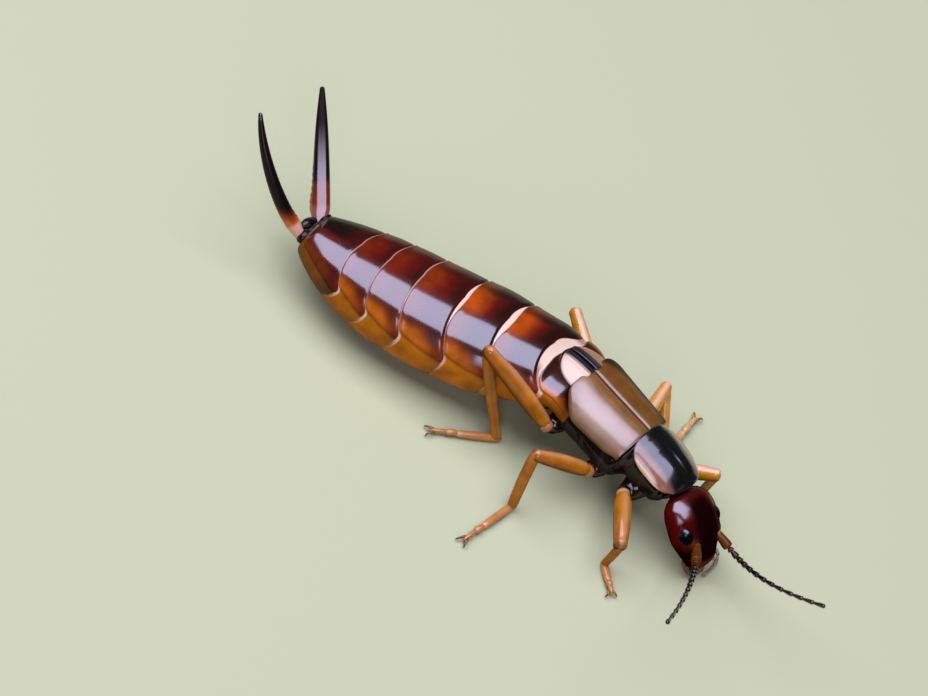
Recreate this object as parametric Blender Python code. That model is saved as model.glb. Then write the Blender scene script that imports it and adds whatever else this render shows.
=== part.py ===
"""A female common earwig at life size, standing on its six feet with its tail raised.

Metres, +Z up. The head points to -Y, the animal's left side is +X, and the soles of
the feet are at Z = 0. Every dimension below is in millimetres and is scaled by MM.
"""

import math
from dataclasses import dataclass

import bmesh
import bpy
from mathutils import Vector

MM = 0.001

# Where the middle of the box of the whole animal lies, in the frame of the sizes below.
CENTRE_X = -0.3469
CENTRE_Y = 2.5335

# Gaps between neighbouring pieces.
GAP = 0.2
FINE_GAP = 0.1

# Thorax: its middle, its nose-down pitch and its roll toward the left.
THORAX_AT = Vector((0.42, -0.03, 2.06))
THORAX_PITCH = 5.0
THORAX_ROLL = 6.0
THORAX_FRONT = 0.95
THORAX_REAR = -1.85
THORAX_HALF_WIDTH = 1.0
THORAX_HALF_HEIGHT = 0.39
THORAX_DROP = 0.25
COXA_START_OUT = 0.30
COXA_THICK = 0.54

# Wing cases: two curved plates that meet on the back.
CASE_TOP = 0.70
CASE_FRONT = 0.60
CASE_REAR = -1.72
CASE_HALF_WIDTH_FRONT = 1.16
CASE_HALF_WIDTH_REAR = 1.36
CASE_THICKNESS = 0.40
CASE_SEAM = 0.06

# Tips of the folded hind wings behind the wing cases.
TIP_LENGTH = 0.80
TIP_HALF_WIDTH = 0.41
TIP_THICKNESS = 0.30
TIP_SEAM = 0.05

# First ring of the thorax: its shield above and its body below.
SHIELD_FRONT = 2.42
SHIELD_REAR = 0.74
SHIELD_HALF_WIDTH = 0.99
SHIELD_TOP_REAR = 0.70
SHIELD_TOP_FRONT = 0.42
SHIELD_THICKNESS = 0.36
SHIELD_DROOP = 0.34
FORE_BODY_FRONT = 2.02
FORE_BODY_REAR = 1.17
FORE_BODY_HALF_WIDTH = 0.70
FORE_BODY_HALF_HEIGHT = 0.34

# Head: from the nape to the mouth.
NAPE_AT = Vector((0.373, -2.409, 1.917))
HEAD_YAW = 8.0
HEAD_PITCH = 40.0
HEAD_ROLL = 8.0
HEAD_LENGTH = 1.95
HEAD_HALF_WIDTH = 0.94
HEAD_HALF_HEIGHT = 0.52
HEAD_ARCH = 0.12
MOUTH_LENGTH = 0.36
EYE_ALONG = 0.97
EYE_OUT = 0.71
EYE_UP = 0.32
EYE_RADIUS = 0.235
PALP_OUT_LEFT = 0.98
PALP_OUT_RIGHT = 0.62

# Feelers.
FEELER_ALONG = 1.46
FEELER_OUT = 0.50
FEELER_UP = 0.20
FEELER_RINGS = 12
FEELER_THICK = 0.42
FEELER_THIN = 0.22

# Abdomen: the control points of its middle line and its largest half sizes.
ABDOMEN_ROOT = Vector((0.29, 2.12, 2.26))
ABDOMEN_LEAD = Vector((-0.21, 4.50, 1.32))
ABDOMEN_TRAIL = Vector((-1.50, 7.09, 1.15))
ABDOMEN_END = Vector((-1.775, 9.826, 1.535))
ABDOMEN_HALF_WIDTH = 1.70
ABDOMEN_DEPTH_RATIO = 0.71
RING_EDGES = (0.06, 0.26, 0.447, 0.608, 0.751, 0.865, 0.985)
RING_STEP = 0.045

# Forceps.
FORCEPS_LENGTH = 3.52
FORCEPS_THICK = 0.47
FORCEPS_TIP = 0.15

COLOURS = {
    "abdomen": (0.20, 0.035, 0.012, 1.0),
    "dark": (0.015, 0.010, 0.010, 1.0),
    "case": (0.16, 0.07, 0.04, 1.0),
    "cream": (0.62, 0.45, 0.28, 1.0),
    "head": (0.07, 0.008, 0.008, 1.0),
    "eye": (0.004, 0.004, 0.006, 1.0),
    "leg": (0.55, 0.22, 0.04, 1.0),
    "feeler": (0.10, 0.045, 0.025, 1.0),
    "forceps": (0.10, 0.016, 0.006, 1.0),
}


@dataclass(frozen=True)
class Leg:
    """One leg as lengths in millimetres and headings in degrees from +X toward +Y."""

    name: str
    hip: tuple
    femur: float
    femur_heading: float
    femur_rise: float
    tibia: float
    tibia_heading: float
    tarsus: float
    tarsus_heading: float
    thick: float


LEGS = (
    Leg("leg_hind_right", (-0.95, 1.39, 1.49), 2.96, 109.0, 32.9, 3.32, -73.2, 2.05, 137.2, 0.54),
    Leg("leg_middle_right", (-0.78, -0.20, 1.18), 2.12, 146.4, 24.3, 1.90, -138.0, 2.10, 177.6, 0.50),
    Leg("leg_front_right", (-0.58, -1.25, 1.28), 1.87, -142.7, 2.9, 1.25, 45.0, 1.02, -125.9, 0.54),
    Leg("leg_hind_left", (1.30, 1.44, 1.22), 2.40, 60.0, 11.0, 2.60, -97.0, 2.10, 80.0, 0.54),
    Leg("leg_middle_left", (1.20, -0.18, 1.05), 1.95, 15.0, 8.0, 1.88, -125.0, 1.90, 8.0, 0.50),
    Leg("leg_front_left", (1.02, -1.24, 1.06), 1.65, -52.5, 12.0, 1.36, 165.0, 1.05, -112.0, 0.48),
)
SOLE_HEIGHT = 0.10


def clear_scene():
    """Remove every object and mesh that is in the file."""
    for item in list(bpy.data.objects):
        bpy.data.objects.remove(item, do_unlink=True)
    for mesh in list(bpy.data.meshes):
        bpy.data.meshes.remove(mesh)


def new_collection(name, helper=False):
    """Make a collection under the scene's own; a helper one is left out of renders."""
    made = bpy.data.collections.new(name)
    bpy.context.scene.collection.children.link(made)
    made.hide_render = helper
    return made


def finish(name, kind, roughness=0.3):
    """Make one Principled material of a named colour."""
    made = bpy.data.materials.new(name + "_finish")
    made.use_nodes = True
    shader = made.node_tree.nodes["Principled BSDF"]
    shader.inputs["Base Color"].default_value = COLOURS[kind]
    shader.inputs["Roughness"].default_value = roughness
    shader.inputs["Metallic"].default_value = 0.0
    return made


def mix(low, high, share):
    """Blend two numbers or vectors."""
    return low * (1.0 - share) + high * share


def smooth(share):
    """Ease from 0 to 1."""
    share = min(max(share, 0.0), 1.0)
    return share * share * (3.0 - 2.0 * share)


def bezier(points, share):
    """Read a cubic curve through its four control points."""
    rest = 1.0 - share
    weights = (rest**3, 3 * rest**2 * share, 3 * rest * share**2, share**3)
    total = Vector((0.0, 0.0, 0.0))
    for weight, point in zip(weights, points):
        total += point * weight
    return total


def heading(angle, rise):
    """Turn a compass angle and a rise, in degrees, into a unit vector."""
    level = math.cos(math.radians(rise))
    return Vector(
        (
            level * math.cos(math.radians(angle)),
            level * math.sin(math.radians(angle)),
            math.sin(math.radians(rise)),
        )
    )


class Frame:
    """A place with a forward, a left and an up direction."""

    def __init__(self, at, yaw, pitch, roll):
        self.at = at
        self.forward = heading(-90.0 - yaw, -pitch)
        level_left = self.forward.cross(Vector((0.0, 0.0, -1.0))).normalized()
        level_up = level_left.cross(self.forward).normalized() * -1.0
        turn = math.radians(roll)
        self.left = level_left * math.cos(turn) - level_up * math.sin(turn)
        self.up = level_up * math.cos(turn) + level_left * math.sin(turn)

    def point(self, along, out, up):
        """Give the world point of a place measured along this frame."""
        return self.at + self.forward * along + self.left * out + self.up * up


THORAX = Frame(THORAX_AT, 0.0, THORAX_PITCH, THORAX_ROLL)
HEAD = Frame(NAPE_AT, HEAD_YAW, HEAD_PITCH, HEAD_ROLL)


def oval(half_width, half_height, power=2.0, droop=0.0, flat=None):
    """Give a section: an oval of a set squareness, arched by droop, with a flat underside."""

    def place(turn):
        across = math.copysign(abs(math.cos(turn)) ** (2.0 / power), math.cos(turn))
        above = math.copysign(abs(math.sin(turn)) ** (2.0 / power), math.sin(turn))
        high = half_height * above - droop * across * across
        if flat is not None:
            high = max(high, -flat)
        return half_width * across, high

    return place


def loft(name, stations, sides):
    """Lay the rings of a sphere along stations of (centre, side, up, section).

    Args:
        name: the new object's name.
        stations: one per ring; the first and the last also give the two poles.
        sides: how many points each ring has.

    Returns:
        The new mesh object, one closed body with its faces pointing out.
    """
    rings = len(stations)
    build = bmesh.new()
    bmesh.ops.create_uvsphere(build, u_segments=sides, v_segments=rings + 1, radius=1.0)
    for vert in build.verts:
        level = round(math.acos(max(-1.0, min(1.0, vert.co.z))) / math.pi * (rings + 1))
        centre, side, up, section = stations[min(max(level - 1, 0), rings - 1)]
        if level in (0, rings + 1):
            vert.co = centre
            continue
        across, high = section(math.atan2(vert.co.y, vert.co.x))
        vert.co = centre + side * across + up * high
    bmesh.ops.scale(build, vec=(MM, MM, MM), verts=build.verts)
    bmesh.ops.recalc_face_normals(build, faces=build.faces)
    mesh = bpy.data.meshes.new(name)
    build.to_mesh(mesh)
    build.free()
    mesh.shade_smooth()
    return bpy.data.objects.new(name, mesh)


def axes_along(tangent, up):
    """Give the side and up directions of a ring that faces along a tangent."""
    side = tangent.cross(up).normalized()
    return side, side.cross(tangent).normalized()


def limb(name, points, radius, sides, rings, up=Vector((0, 0, 1)), squash=1.0, flat=None):
    """Make a round piece along a cubic curve; radius is a function of the share along it."""
    stations = []
    for index in range(rings):
        share = index / (rings - 1)
        centre = bezier(points, share)
        ahead = bezier(points, min(share + 0.01, 1.0)) - bezier(points, max(share - 0.01, 0.0))
        side, over = axes_along(ahead.normalized(), up)
        size = radius(share)
        stations.append((centre, side, over, oval(size, size * squash, 2.0, 0.0, flat)))
    return loft(name, stations, sides)


def straight(start, end, bow=Vector((0, 0, 0))):
    """Give the four control points of a nearly straight run, bowed by a vector."""
    return (start, mix(start, end, 1 / 3) + bow, mix(start, end, 2 / 3) + bow, end)


def rounded(share, ends):
    """Give a factor that rounds off both ends of a piece over a share of its length."""
    near = min(share, 1.0 - share) / ends
    if near >= 1.0:
        return 1.0
    return max(0.25, math.sqrt(max(0.0, 1.0 - (1.0 - near) ** 2)))


def boolean(target, others, operation, helpers):
    """Join or cut a mesh with a set of meshes in one step, then drop that set."""
    group = bpy.data.collections.new(target.name + "_set")
    helpers.children.link(group)
    for other in others:
        other.hide_render = True
        other.display_type = "WIRE"
        group.objects.link(other)
    helpers.objects.link(target)
    modifier = target.modifiers.new("join", "BOOLEAN")
    modifier.operation = operation
    modifier.operand_type = "COLLECTION"
    modifier.collection = group
    modifier.solver = "EXACT"
    bpy.context.view_layer.update()
    graph = bpy.context.evaluated_depsgraph_get()
    mesh = bpy.data.meshes.new_from_object(target.evaluated_get(graph))
    target.modifiers.clear()
    target.data = mesh
    helpers.objects.unlink(target)
    for other in others:
        bpy.data.objects.remove(other, do_unlink=True)
    bpy.data.collections.remove(group)
    keep_largest(mesh)


def keep_largest(mesh):
    """Keep only the closed surface with the most faces."""
    build = bmesh.new()
    build.from_mesh(mesh)
    left = set(build.verts)
    islands = []
    while left:
        seed = left.pop()
        island = {seed}
        front = [seed]
        while front:
            for edge in front.pop().link_edges:
                for vert in edge.verts:
                    if vert in left:
                        left.discard(vert)
                        island.add(vert)
                        front.append(vert)
        islands.append(island)
    islands.sort(key=len, reverse=True)
    for island in islands[1:]:
        bmesh.ops.delete(build, geom=list(island), context="VERTS")
    build.to_mesh(mesh)
    build.free()
    mesh.shade_smooth()


def make_thorax():
    """The second and third rings of the thorax in one body."""
    stations = []
    rings = 12
    for index in range(rings):
        share = index / (rings - 1)
        along = mix(THORAX_REAR, THORAX_FRONT, share)
        end = rounded(share, 0.16)
        wide = THORAX_HALF_WIDTH * (0.80 + 0.20 * math.sin(math.pi * share)) * max(end, 0.55)
        high = THORAX_HALF_HEIGHT * max(end, 0.5)
        centre = THORAX.point(along, 0.0, -THORAX_DROP)
        stations.append((centre, THORAX.left, THORAX.up, oval(wide, high, 2.4)))
    return loft("thorax", stations, 24)


def make_fore_body():
    """The body of the first thorax ring, under its shield."""
    stations = []
    rings = 8
    for index in range(rings):
        share = index / (rings - 1)
        along = mix(FORE_BODY_REAR, FORE_BODY_FRONT, share)
        end = rounded(share, 0.2)
        wide = FORE_BODY_HALF_WIDTH * mix(1.0, 0.72, share) * max(end, 0.6)
        high = FORE_BODY_HALF_HEIGHT * max(end, 0.6)
        centre = THORAX.point(along, 0.0, mix(-0.26, -0.32, share))
        stations.append((centre, THORAX.left, THORAX.up, oval(wide, high, 2.3)))
    return loft("prothorax", stations, 20)


def make_neck():
    """The short neck between the first ring and the head."""
    start = THORAX.point(FORE_BODY_FRONT + FINE_GAP, 0.0, -0.32)
    end = HEAD.point(-0.15, 0.0, -0.10)
    return limb("neck", straight(start, end), lambda share: 0.27, 16, 4, THORAX.up, 0.8)


def make_shield():
    """The rounded shield over the first ring of the thorax."""
    stations = []
    rings = 14
    for index in range(rings):
        share = index / (rings - 1)
        along = mix(SHIELD_REAR, SHIELD_FRONT, share)
        round_off = (1.0 - abs(2.0 * share - 1.0) ** 3.2) ** (1 / 3.2) if 0 < share < 1 else 0.45
        wide = SHIELD_HALF_WIDTH * mix(1.0, 0.90, share) * max(round_off, 0.45)
        top = mix(SHIELD_TOP_REAR, SHIELD_TOP_FRONT, share) + 0.06 * math.sin(math.pi * share)
        half = SHIELD_THICKNESS / 2 * max(round_off, 0.5)
        droop = SHIELD_DROOP * (wide / SHIELD_HALF_WIDTH) ** 2
        centre = THORAX.point(along, 0.0, top - SHIELD_THICKNESS / 2)
        stations.append((centre, THORAX.left, THORAX.up, oval(wide, half, 2.2, droop)))
    return loft("pronotum", stations, 24)


def make_case(name, hand):
    """One wing case, curved from the seam on the back down the side."""
    stations = []
    rings = 12
    for index in range(rings):
        share = index / (rings - 1)
        along = mix(CASE_REAR, CASE_FRONT, share)
        wide = mix(CASE_HALF_WIDTH_REAR, CASE_HALF_WIDTH_FRONT, share)
        end = rounded(share, 0.14)
        half = CASE_THICKNESS / 2 * max(end, 0.55)
        seam = math.asin(CASE_SEAM / (wide - CASE_THICKNESS))
        edge = math.radians(mix(52.0, 92.0, smooth(share / 0.34)))
        edge *= mix(1.0, 0.92, smooth((share - 0.8) / 0.2))
        middle, spread = (edge + seam) / 2, (edge - seam) / 2
        rise = CASE_TOP - 0.05 * (1.0 - end)

        def place(turn, wide=wide, half=half, middle=middle, spread=spread, rise=rise):
            angle = middle + spread * math.copysign(abs(math.cos(turn)) ** 0.7, math.cos(turn))
            depth = half * (math.copysign(abs(math.sin(turn)) ** 0.8, math.sin(turn)) - 1.0)
            return (wide + depth) * math.sin(angle), (rise + depth) * math.cos(angle)

        centre = THORAX.point(along, 0.0, 0.0)
        stations.append((centre, THORAX.left * hand, THORAX.up, place))
    case = loft(name, stations, 24)
    centre_poles(case)
    return case


def centre_poles(item):
    """Move each pole of a lofted piece to the middle of the ring next to it."""
    build = bmesh.new()
    build.from_mesh(item.data)
    build.verts.ensure_lookup_table()
    for vert in build.verts:
        if len(vert.link_edges) > 8:
            near = [edge.other_vert(vert).co for edge in vert.link_edges]
            vert.co = sum(near, Vector((0, 0, 0))) / len(near)
    bmesh.ops.recalc_face_normals(build, faces=build.faces)
    build.to_mesh(item.data)
    build.free()


def make_wing_tip(name, hand):
    """The folded tip of one hind wing, behind its wing case."""
    stations = []
    rings = 9
    for index in range(rings):
        share = index / (rings - 1)
        along = CASE_REAR - FINE_GAP - TIP_LENGTH * share
        round_off = math.sqrt(max(0.0, 1.0 - share**2.6)) if share < 1 else 0.0
        wide = TIP_HALF_WIDTH * max(round_off, 0.3)
        half = TIP_THICKNESS / 2 * max(round_off, 0.5)
        centre = THORAX.point(along, hand * (TIP_SEAM + 0.95 * wide), 0.53 - 0.04 * share)
        tilt = (THORAX.left * hand * 0.93 - THORAX.up * 0.37).normalized()
        over = (THORAX.up * 0.93 + THORAX.left * hand * 0.37).normalized()
        stations.append((centre, tilt, over, oval(wide, half, 2.4)))
    return loft(name, stations, 16)


def ring_step(share):
    """Give the swell of the rings: each widens to its hind edge and the next starts lower."""
    start = 0.0
    for edge in RING_EDGES:
        if share <= edge:
            part = (share - start) / (edge - start)
            return 1.0 - RING_STEP * (1.0 - smooth(part * 1.6))
        start = edge
    return 1.0 - RING_STEP


def abdomen_sizes(share):
    """Give the half width and half height of the abdomen at a share of its length."""
    grow = smooth(share / 0.34)
    wide = ABDOMEN_HALF_WIDTH * (0.80 + 0.20 * grow)
    if share > 0.42:
        wide *= 1.0 - 0.62 * ((share - 0.42) / 0.58) ** 2.9
    depth = wide * (ABDOMEN_DEPTH_RATIO - 0.05 * (1.0 - grow))
    front = smooth(share / 0.08)
    return wide * mix(0.84, 1.0, front), depth * mix(0.45, 1.0, front)


def make_abdomen_length(name, first, last, sides, per_ring):
    """One length of the abdomen between two shares of its middle line."""
    curve = (ABDOMEN_ROOT, ABDOMEN_LEAD, ABDOMEN_TRAIL, ABDOMEN_END)
    shares = [first]
    edges = [0.0] + list(RING_EDGES) + [1.0]
    for start, edge in zip(edges, edges[1:]):
        for step in range(1, per_ring + 1):
            value = mix(start, edge, step / per_ring)
            if first < value < last:
                shares.append(value)
        if first < edge + 0.006 < last - 0.01:
            shares.append(edge + 0.006)
    shares.append(last)
    shares = sorted(set(shares))
    stations = []
    for share in [first] + shares + [last]:
        centre = bezier(curve, share)
        ahead = (bezier(curve, min(share + 0.01, 1.0)) - bezier(curve, max(share - 0.01, 0.0))).normalized()
        side, over = axes_along(ahead, THORAX.up)
        wide, high = abdomen_sizes(share)
        swell = ring_step(share)
        if len(stations) == 0 or len(stations) == len(shares) + 1:
            swell *= 0.86
        stations.append((centre, side, over, oval(wide * swell, high * swell, 2.15)))
    return loft(name, stations, sides)


def make_end_plate():
    """The small blunt plate at the end of the body, between the forceps."""
    curve = (ABDOMEN_TRAIL, ABDOMEN_END)
    ahead = (curve[1] - curve[0]).normalized()
    start = ABDOMEN_END + ahead * FINE_GAP
    end = start + (ahead + Vector((0.12, 0, 0.35))).normalized() * 0.42
    return limb("pygidium", straight(start, end), lambda share: 0.13 * rounded(share, 0.5) + 0.02, 12, 5)


def make_forceps(name, root, aim, bow):
    """One arm of the forceps, thick at its root and bowed to its tip."""
    tip = root + aim.normalized() * FORCEPS_LENGTH
    points = (root, mix(root, tip, 0.30) + bow, mix(root, tip, 0.70) + bow * 1.1, tip)

    def radius(share):
        thick = mix(FORCEPS_THICK, FORCEPS_TIP, share**2.0) / 2
        return thick * (rounded(share, 0.06) if share < 0.5 else max(0.35, rounded(share, 0.04)))

    return limb(name, points, radius, 12, 12, Vector((1, 0, 0)), 0.82)


def make_head():
    """The heart-shaped head capsule, widest in front of its middle."""
    stations = []
    rings = 14
    for index in range(rings):
        share = index / (rings - 1)
        along = HEAD_LENGTH * share
        wide = 0.74 + 0.26 * smooth(share / 0.42)
        wide -= 0.44 * smooth((share - 0.60) / 0.40)
        high = 0.60 + 0.40 * smooth(share / 0.4) - 0.42 * smooth((share - 0.52) / 0.48)
        end = rounded(share, 0.13)
        wide *= max(end, 0.6)
        high *= max(end, 0.5)
        centre = HEAD.point(along, 0.0, HEAD_ARCH * math.sin(math.pi * share) - 0.04 * share)
        section = oval(HEAD_HALF_WIDTH * wide, HEAD_HALF_HEIGHT * high, 2.15)
        stations.append((centre, HEAD.left, HEAD.up, section))
    return loft("head", stations, 24)


def make_eye(name, hand, grow):
    """One eye, a ball flattened against the side of the head; grow gives its socket."""
    size = EYE_RADIUS + grow
    build = bmesh.new()
    bmesh.ops.create_uvsphere(build, u_segments=14, v_segments=10, radius=1.0)
    at = HEAD.point(EYE_ALONG, hand * EYE_OUT, EYE_UP)
    for vert in build.verts:
        place = vert.co.copy()
        vert.co = (
            at
            + HEAD.forward * place.x * size * 1.05
            + HEAD.left * place.y * size
            + HEAD.up * place.z * size * 0.95
        )
    bmesh.ops.scale(build, vec=(MM, MM, MM), verts=build.verts)
    bmesh.ops.recalc_face_normals(build, faces=build.faces)
    mesh = bpy.data.meshes.new(name)
    build.to_mesh(mesh)
    build.free()
    mesh.shade_smooth()
    return bpy.data.objects.new(name, mesh)


def make_mouth():
    """The upper lip and jaws, one wedge in front of the head."""
    stations = []
    rings = 7
    for index in range(rings):
        share = index / (rings - 1)
        along = HEAD_LENGTH + FINE_GAP + MOUTH_LENGTH * share
        end = rounded(share, 0.3)
        wide = mix(0.44, 0.30, share) * max(end, 0.55)
        high = mix(0.21, 0.12, share) * max(end, 0.55)
        centre = HEAD.point(along, 0.0, mix(-0.08, -0.12, share))
        stations.append((centre, HEAD.left, HEAD.up, oval(wide, high, 2.3)))
    return loft("mouthparts", stations, 16)


def make_palp(name, hand):
    """One jaw feeler, curved out from under the head and in again at its tip."""
    out = PALP_OUT_LEFT if hand > 0.0 else PALP_OUT_RIGHT
    points = (
        HEAD.point(1.47, hand * 0.50, -0.52),
        HEAD.point(1.62, hand * out, -0.46),
        HEAD.point(2.17, hand * out * 0.92, -0.34),
        HEAD.point(2.42, hand * 0.38, -0.36),
    )
    return limb(name, points, lambda share: mix(0.13, 0.08, share) * rounded(share, 0.08), 8, 9)


def make_feeler(name, hand, reach):
    """One feeler: a thick first joint, then beads along a curve that thins to its tip."""
    root = HEAD.point(FEELER_ALONG, hand * FEELER_OUT, FEELER_UP)
    root += (HEAD.left * hand * 0.7 + HEAD.forward * 0.7).normalized() * 0.22
    points = (root, root + reach[0], root + reach[1], root + reach[2])

    def radius(share):
        bead = 0.94 + 0.06 * abs(math.sin(math.pi * FEELER_RINGS * share))
        return mix(FEELER_THICK, FEELER_THIN, smooth(share)) / 2 * bead * rounded(share, 0.03)

    return limb(name, points, radius, 8, 2 * FEELER_RINGS, Vector((0, 0, 1)))


def leg_points(leg):
    """Give the hip, knee, ankle and toe of a leg; the ankle lands at sole height."""
    hip = Vector(leg.hip)
    knee = hip + heading(leg.femur_heading, leg.femur_rise) * leg.femur
    drop = knee.z - SOLE_HEIGHT
    slope = -math.degrees(math.asin(min(0.98, drop / leg.tibia)))
    ankle = knee + heading(leg.tibia_heading, slope) * leg.tibia
    ankle.z = SOLE_HEIGHT
    toe = ankle + heading(leg.tarsus_heading, 0.0) * leg.tarsus
    return hip, knee, ankle, toe


def make_leg(leg, helpers):
    """One leg: hip joint, thigh, shin and three foot joints with claws, in one body."""
    hip, knee, ankle, toe = leg_points(leg)
    hand = 1.0 if "left" in leg.name else -1.0
    thick = leg.thick / 2
    lift = Vector((0, 0, 0.05 * leg.femur))

    def thigh(share):
        return thick * (0.74 + 0.26 * math.sin(math.pi * min(1.0, share * 1.15))) * rounded(share, 0.1)

    def shin(share):
        return (0.215 - 0.02 * share + 0.03 * math.sin(math.pi * share)) * rounded(share, 0.07)

    thigh_way = (knee - hip).normalized()
    shin_way = (ankle - knee).normalized()
    base = limb(leg.name, straight(hip, knee + thigh_way * 0.08, lift * 0.5), thigh, 10, 9)
    pieces = []
    shin_bow = shin_way.cross(Vector((0, 0, 1))).normalized() * 0.03
    run = straight(knee - shin_way * 0.12, ankle + shin_way * 0.03, shin_bow)
    pieces.append(limb("shin", run, shin, 10, 8, Vector((0.3, 0.2, 1))))
    under = THORAX_DROP + THORAX_HALF_HEIGHT + FINE_GAP + COXA_THICK / 2
    along_body = (hip - THORAX_AT).dot(THORAX.forward)
    coxa_start = THORAX.point(along_body, hand * COXA_START_OUT, -under)
    coxa_end = hip + thigh_way * 0.25

    def coxa(share):
        return COXA_THICK / 2 * mix(1.0, 0.9, share) * rounded(share, 0.2)

    pieces.append(limb("coxa", straight(coxa_start, coxa_end), coxa, 10, 6))
    along = (toe - ankle).normalized()
    length = (toe - ankle).length
    for start, end, size in ((-0.06, 0.50, 0.15), (0.43, 0.68, 0.165), (0.60, 0.92, 0.14)):
        first = ankle + along * (start * length)
        last = ankle + along * (end * length)
        pieces.append(
            limb(
                "joint",
                straight(first, last),
                lambda share, size=size: size * (0.86 + 0.2 * share) * rounded(share, 0.22),
                8,
                5,
            )
        )
    across = along.cross(Vector((0, 0, 1))).normalized()
    for turn in (-1.0, 1.0):
        root = ankle + along * (0.84 * length) + across * turn * 0.03
        end = toe + across * turn * 0.17 - Vector((0, 0, SOLE_HEIGHT - 0.07))
        middle = toe + across * turn * 0.13
        points = (root, mix(root, middle, 0.6), middle, end)
        pieces.append(
            limb("claw", points, lambda share: mix(0.085, 0.05, share) * rounded(share, 0.1), 6, 5)
        )
    boolean(base, pieces, "UNION", helpers)
    flatten_sole(base)
    return base


def make_clearance(leg, grow):
    """A fattened thigh and shin, cut out of the flank that the leg passes."""
    hip, knee, ankle, _ = leg_points(leg)
    way = (knee - hip).normalized()
    bow = Vector((0, 0, 0.025 * leg.femur))
    thigh = straight(hip - way * 0.1, knee + way * 0.2, bow)
    down = (ankle - knee).normalized()
    shin = straight(knee - down * 0.3, ankle)
    return [
        limb("clearance", thigh, lambda share: leg.thick / 2 + grow, 14, 8),
        limb("clearance", shin, lambda share: 0.245 + grow, 14, 8),
    ]


def flatten_sole(item):
    """Cut everything below Z = 0 off a foot and close it flat."""
    build = bmesh.new()
    build.from_mesh(item.data)
    for vert in build.verts:
        if vert.co.z < 0.0:
            vert.co.z = 0.0
    build.to_mesh(item.data)
    build.free()


def main():
    """Build the animal and centre it over its feet."""
    clear_scene()
    animal = new_collection("earwig")
    helpers = new_collection("helpers", helper=True)
    parts = []

    def add(item, kind, roughness=0.3):
        item.data.materials.clear()
        item.data.materials.append(finish(item.name, kind, roughness))
        animal.objects.link(item)
        parts.append(item)
        return item

    head = add(make_head(), "head", 0.2)
    sockets = [make_eye("socket", hand, FINE_GAP) for hand in (1.0, -1.0)]
    boolean(head, sockets, "DIFFERENCE", helpers)
    add(make_eye("eye_left", 1.0, 0.0), "eye", 0.15)
    add(make_eye("eye_right", -1.0, 0.0), "eye", 0.15)
    add(make_mouth(), "feeler")
    add(make_palp("palp_left", 1.0), "leg")
    add(make_palp("palp_right", -1.0), "leg")
    left_reach = (Vector((0.0, -0.75, -0.35)), Vector((0.0, -1.75, -0.1)), Vector((-0.9, -3.7, 1.9)))
    right_reach = (Vector((-0.25, -0.75, 0.35)), Vector((-1.9, -1.4, 1.3)), Vector((-4.4, -1.8, 3.2)))
    add(make_feeler("antenna_left", 1.0, left_reach), "feeler")
    add(make_feeler("antenna_right", -1.0, right_reach), "feeler")
    add(make_neck(), "dark")
    add(make_fore_body(), "dark")
    add(make_shield(), "dark")
    add(make_thorax(), "dark")
    add(make_case("wing_case_left", 1.0), "case")
    add(make_case("wing_case_right", -1.0), "case")
    add(make_wing_tip("wing_tip_left", 1.0), "cream")
    add(make_wing_tip("wing_tip_right", -1.0), "cream")
    cuts = (0.0, RING_EDGES[1], RING_EDGES[3], 1.0)
    half = GAP / 2 / 7.8
    names = ("abdomen_front", "abdomen_middle", "abdomen_rear")
    for index, name in enumerate(names):
        first = cuts[index] + (half if index else 0.0)
        last = cuts[index + 1] - (half if index < 2 else 0.0)
        length = add(make_abdomen_length(name, first, last, 26, 4), "abdomen")
        if index == 0:
            ways = make_clearance(LEGS[0], GAP) + make_clearance(LEGS[3], GAP)
            boolean(length, ways, "DIFFERENCE", helpers)
    add(make_end_plate(), "dark")
    right_root = ABDOMEN_END + Vector((-0.42, 0.20, 0.12))
    left_root = ABDOMEN_END + Vector((0.62, 0.16, 0.06))
    right_aim, left_aim = Vector((0.11, 2.53, 2.43)), Vector((1.17, 2.12, 2.50))
    right_bow, left_bow = Vector((-0.32, 0.0, -0.08)), Vector((0.10, 0.05, -0.10))
    add(make_forceps("forceps_right", right_root, right_aim, right_bow), "forceps")
    add(make_forceps("forceps_left", left_root, left_aim, left_bow), "forceps")
    for leg in LEGS:
        add(make_leg(leg, helpers), "leg")
    for item in parts:
        for vert in item.data.vertices:
            vert.co.x -= CENTRE_X * MM
            vert.co.y -= CENTRE_Y * MM


main()
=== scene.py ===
"""A grown female earwig at life size, standing on six feet with tail and forceps raised.

Sizes are millimetres in the body's own frame: the head points to -Y, the animal's left
side is +X and the soles are at Z = 0. `to_row` turns such a point into the shared frame.
Every body plate is laid from stations along a middle line, and carries a colour layer
named "marks" that the finishes read: red darkens, green pales, blue turns the surface to
amber and alpha to the glow of the hind margins. A fifth number, where a plate gives one,
goes to the layer "dull", which takes the wax off the surface.
"""

import logging
import math
import random
from dataclasses import dataclass, field
from enum import Enum
from typing import Callable, Dict, List, Sequence, Tuple, TypeVar

import bpy
from mathutils import Matrix, Vector


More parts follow.
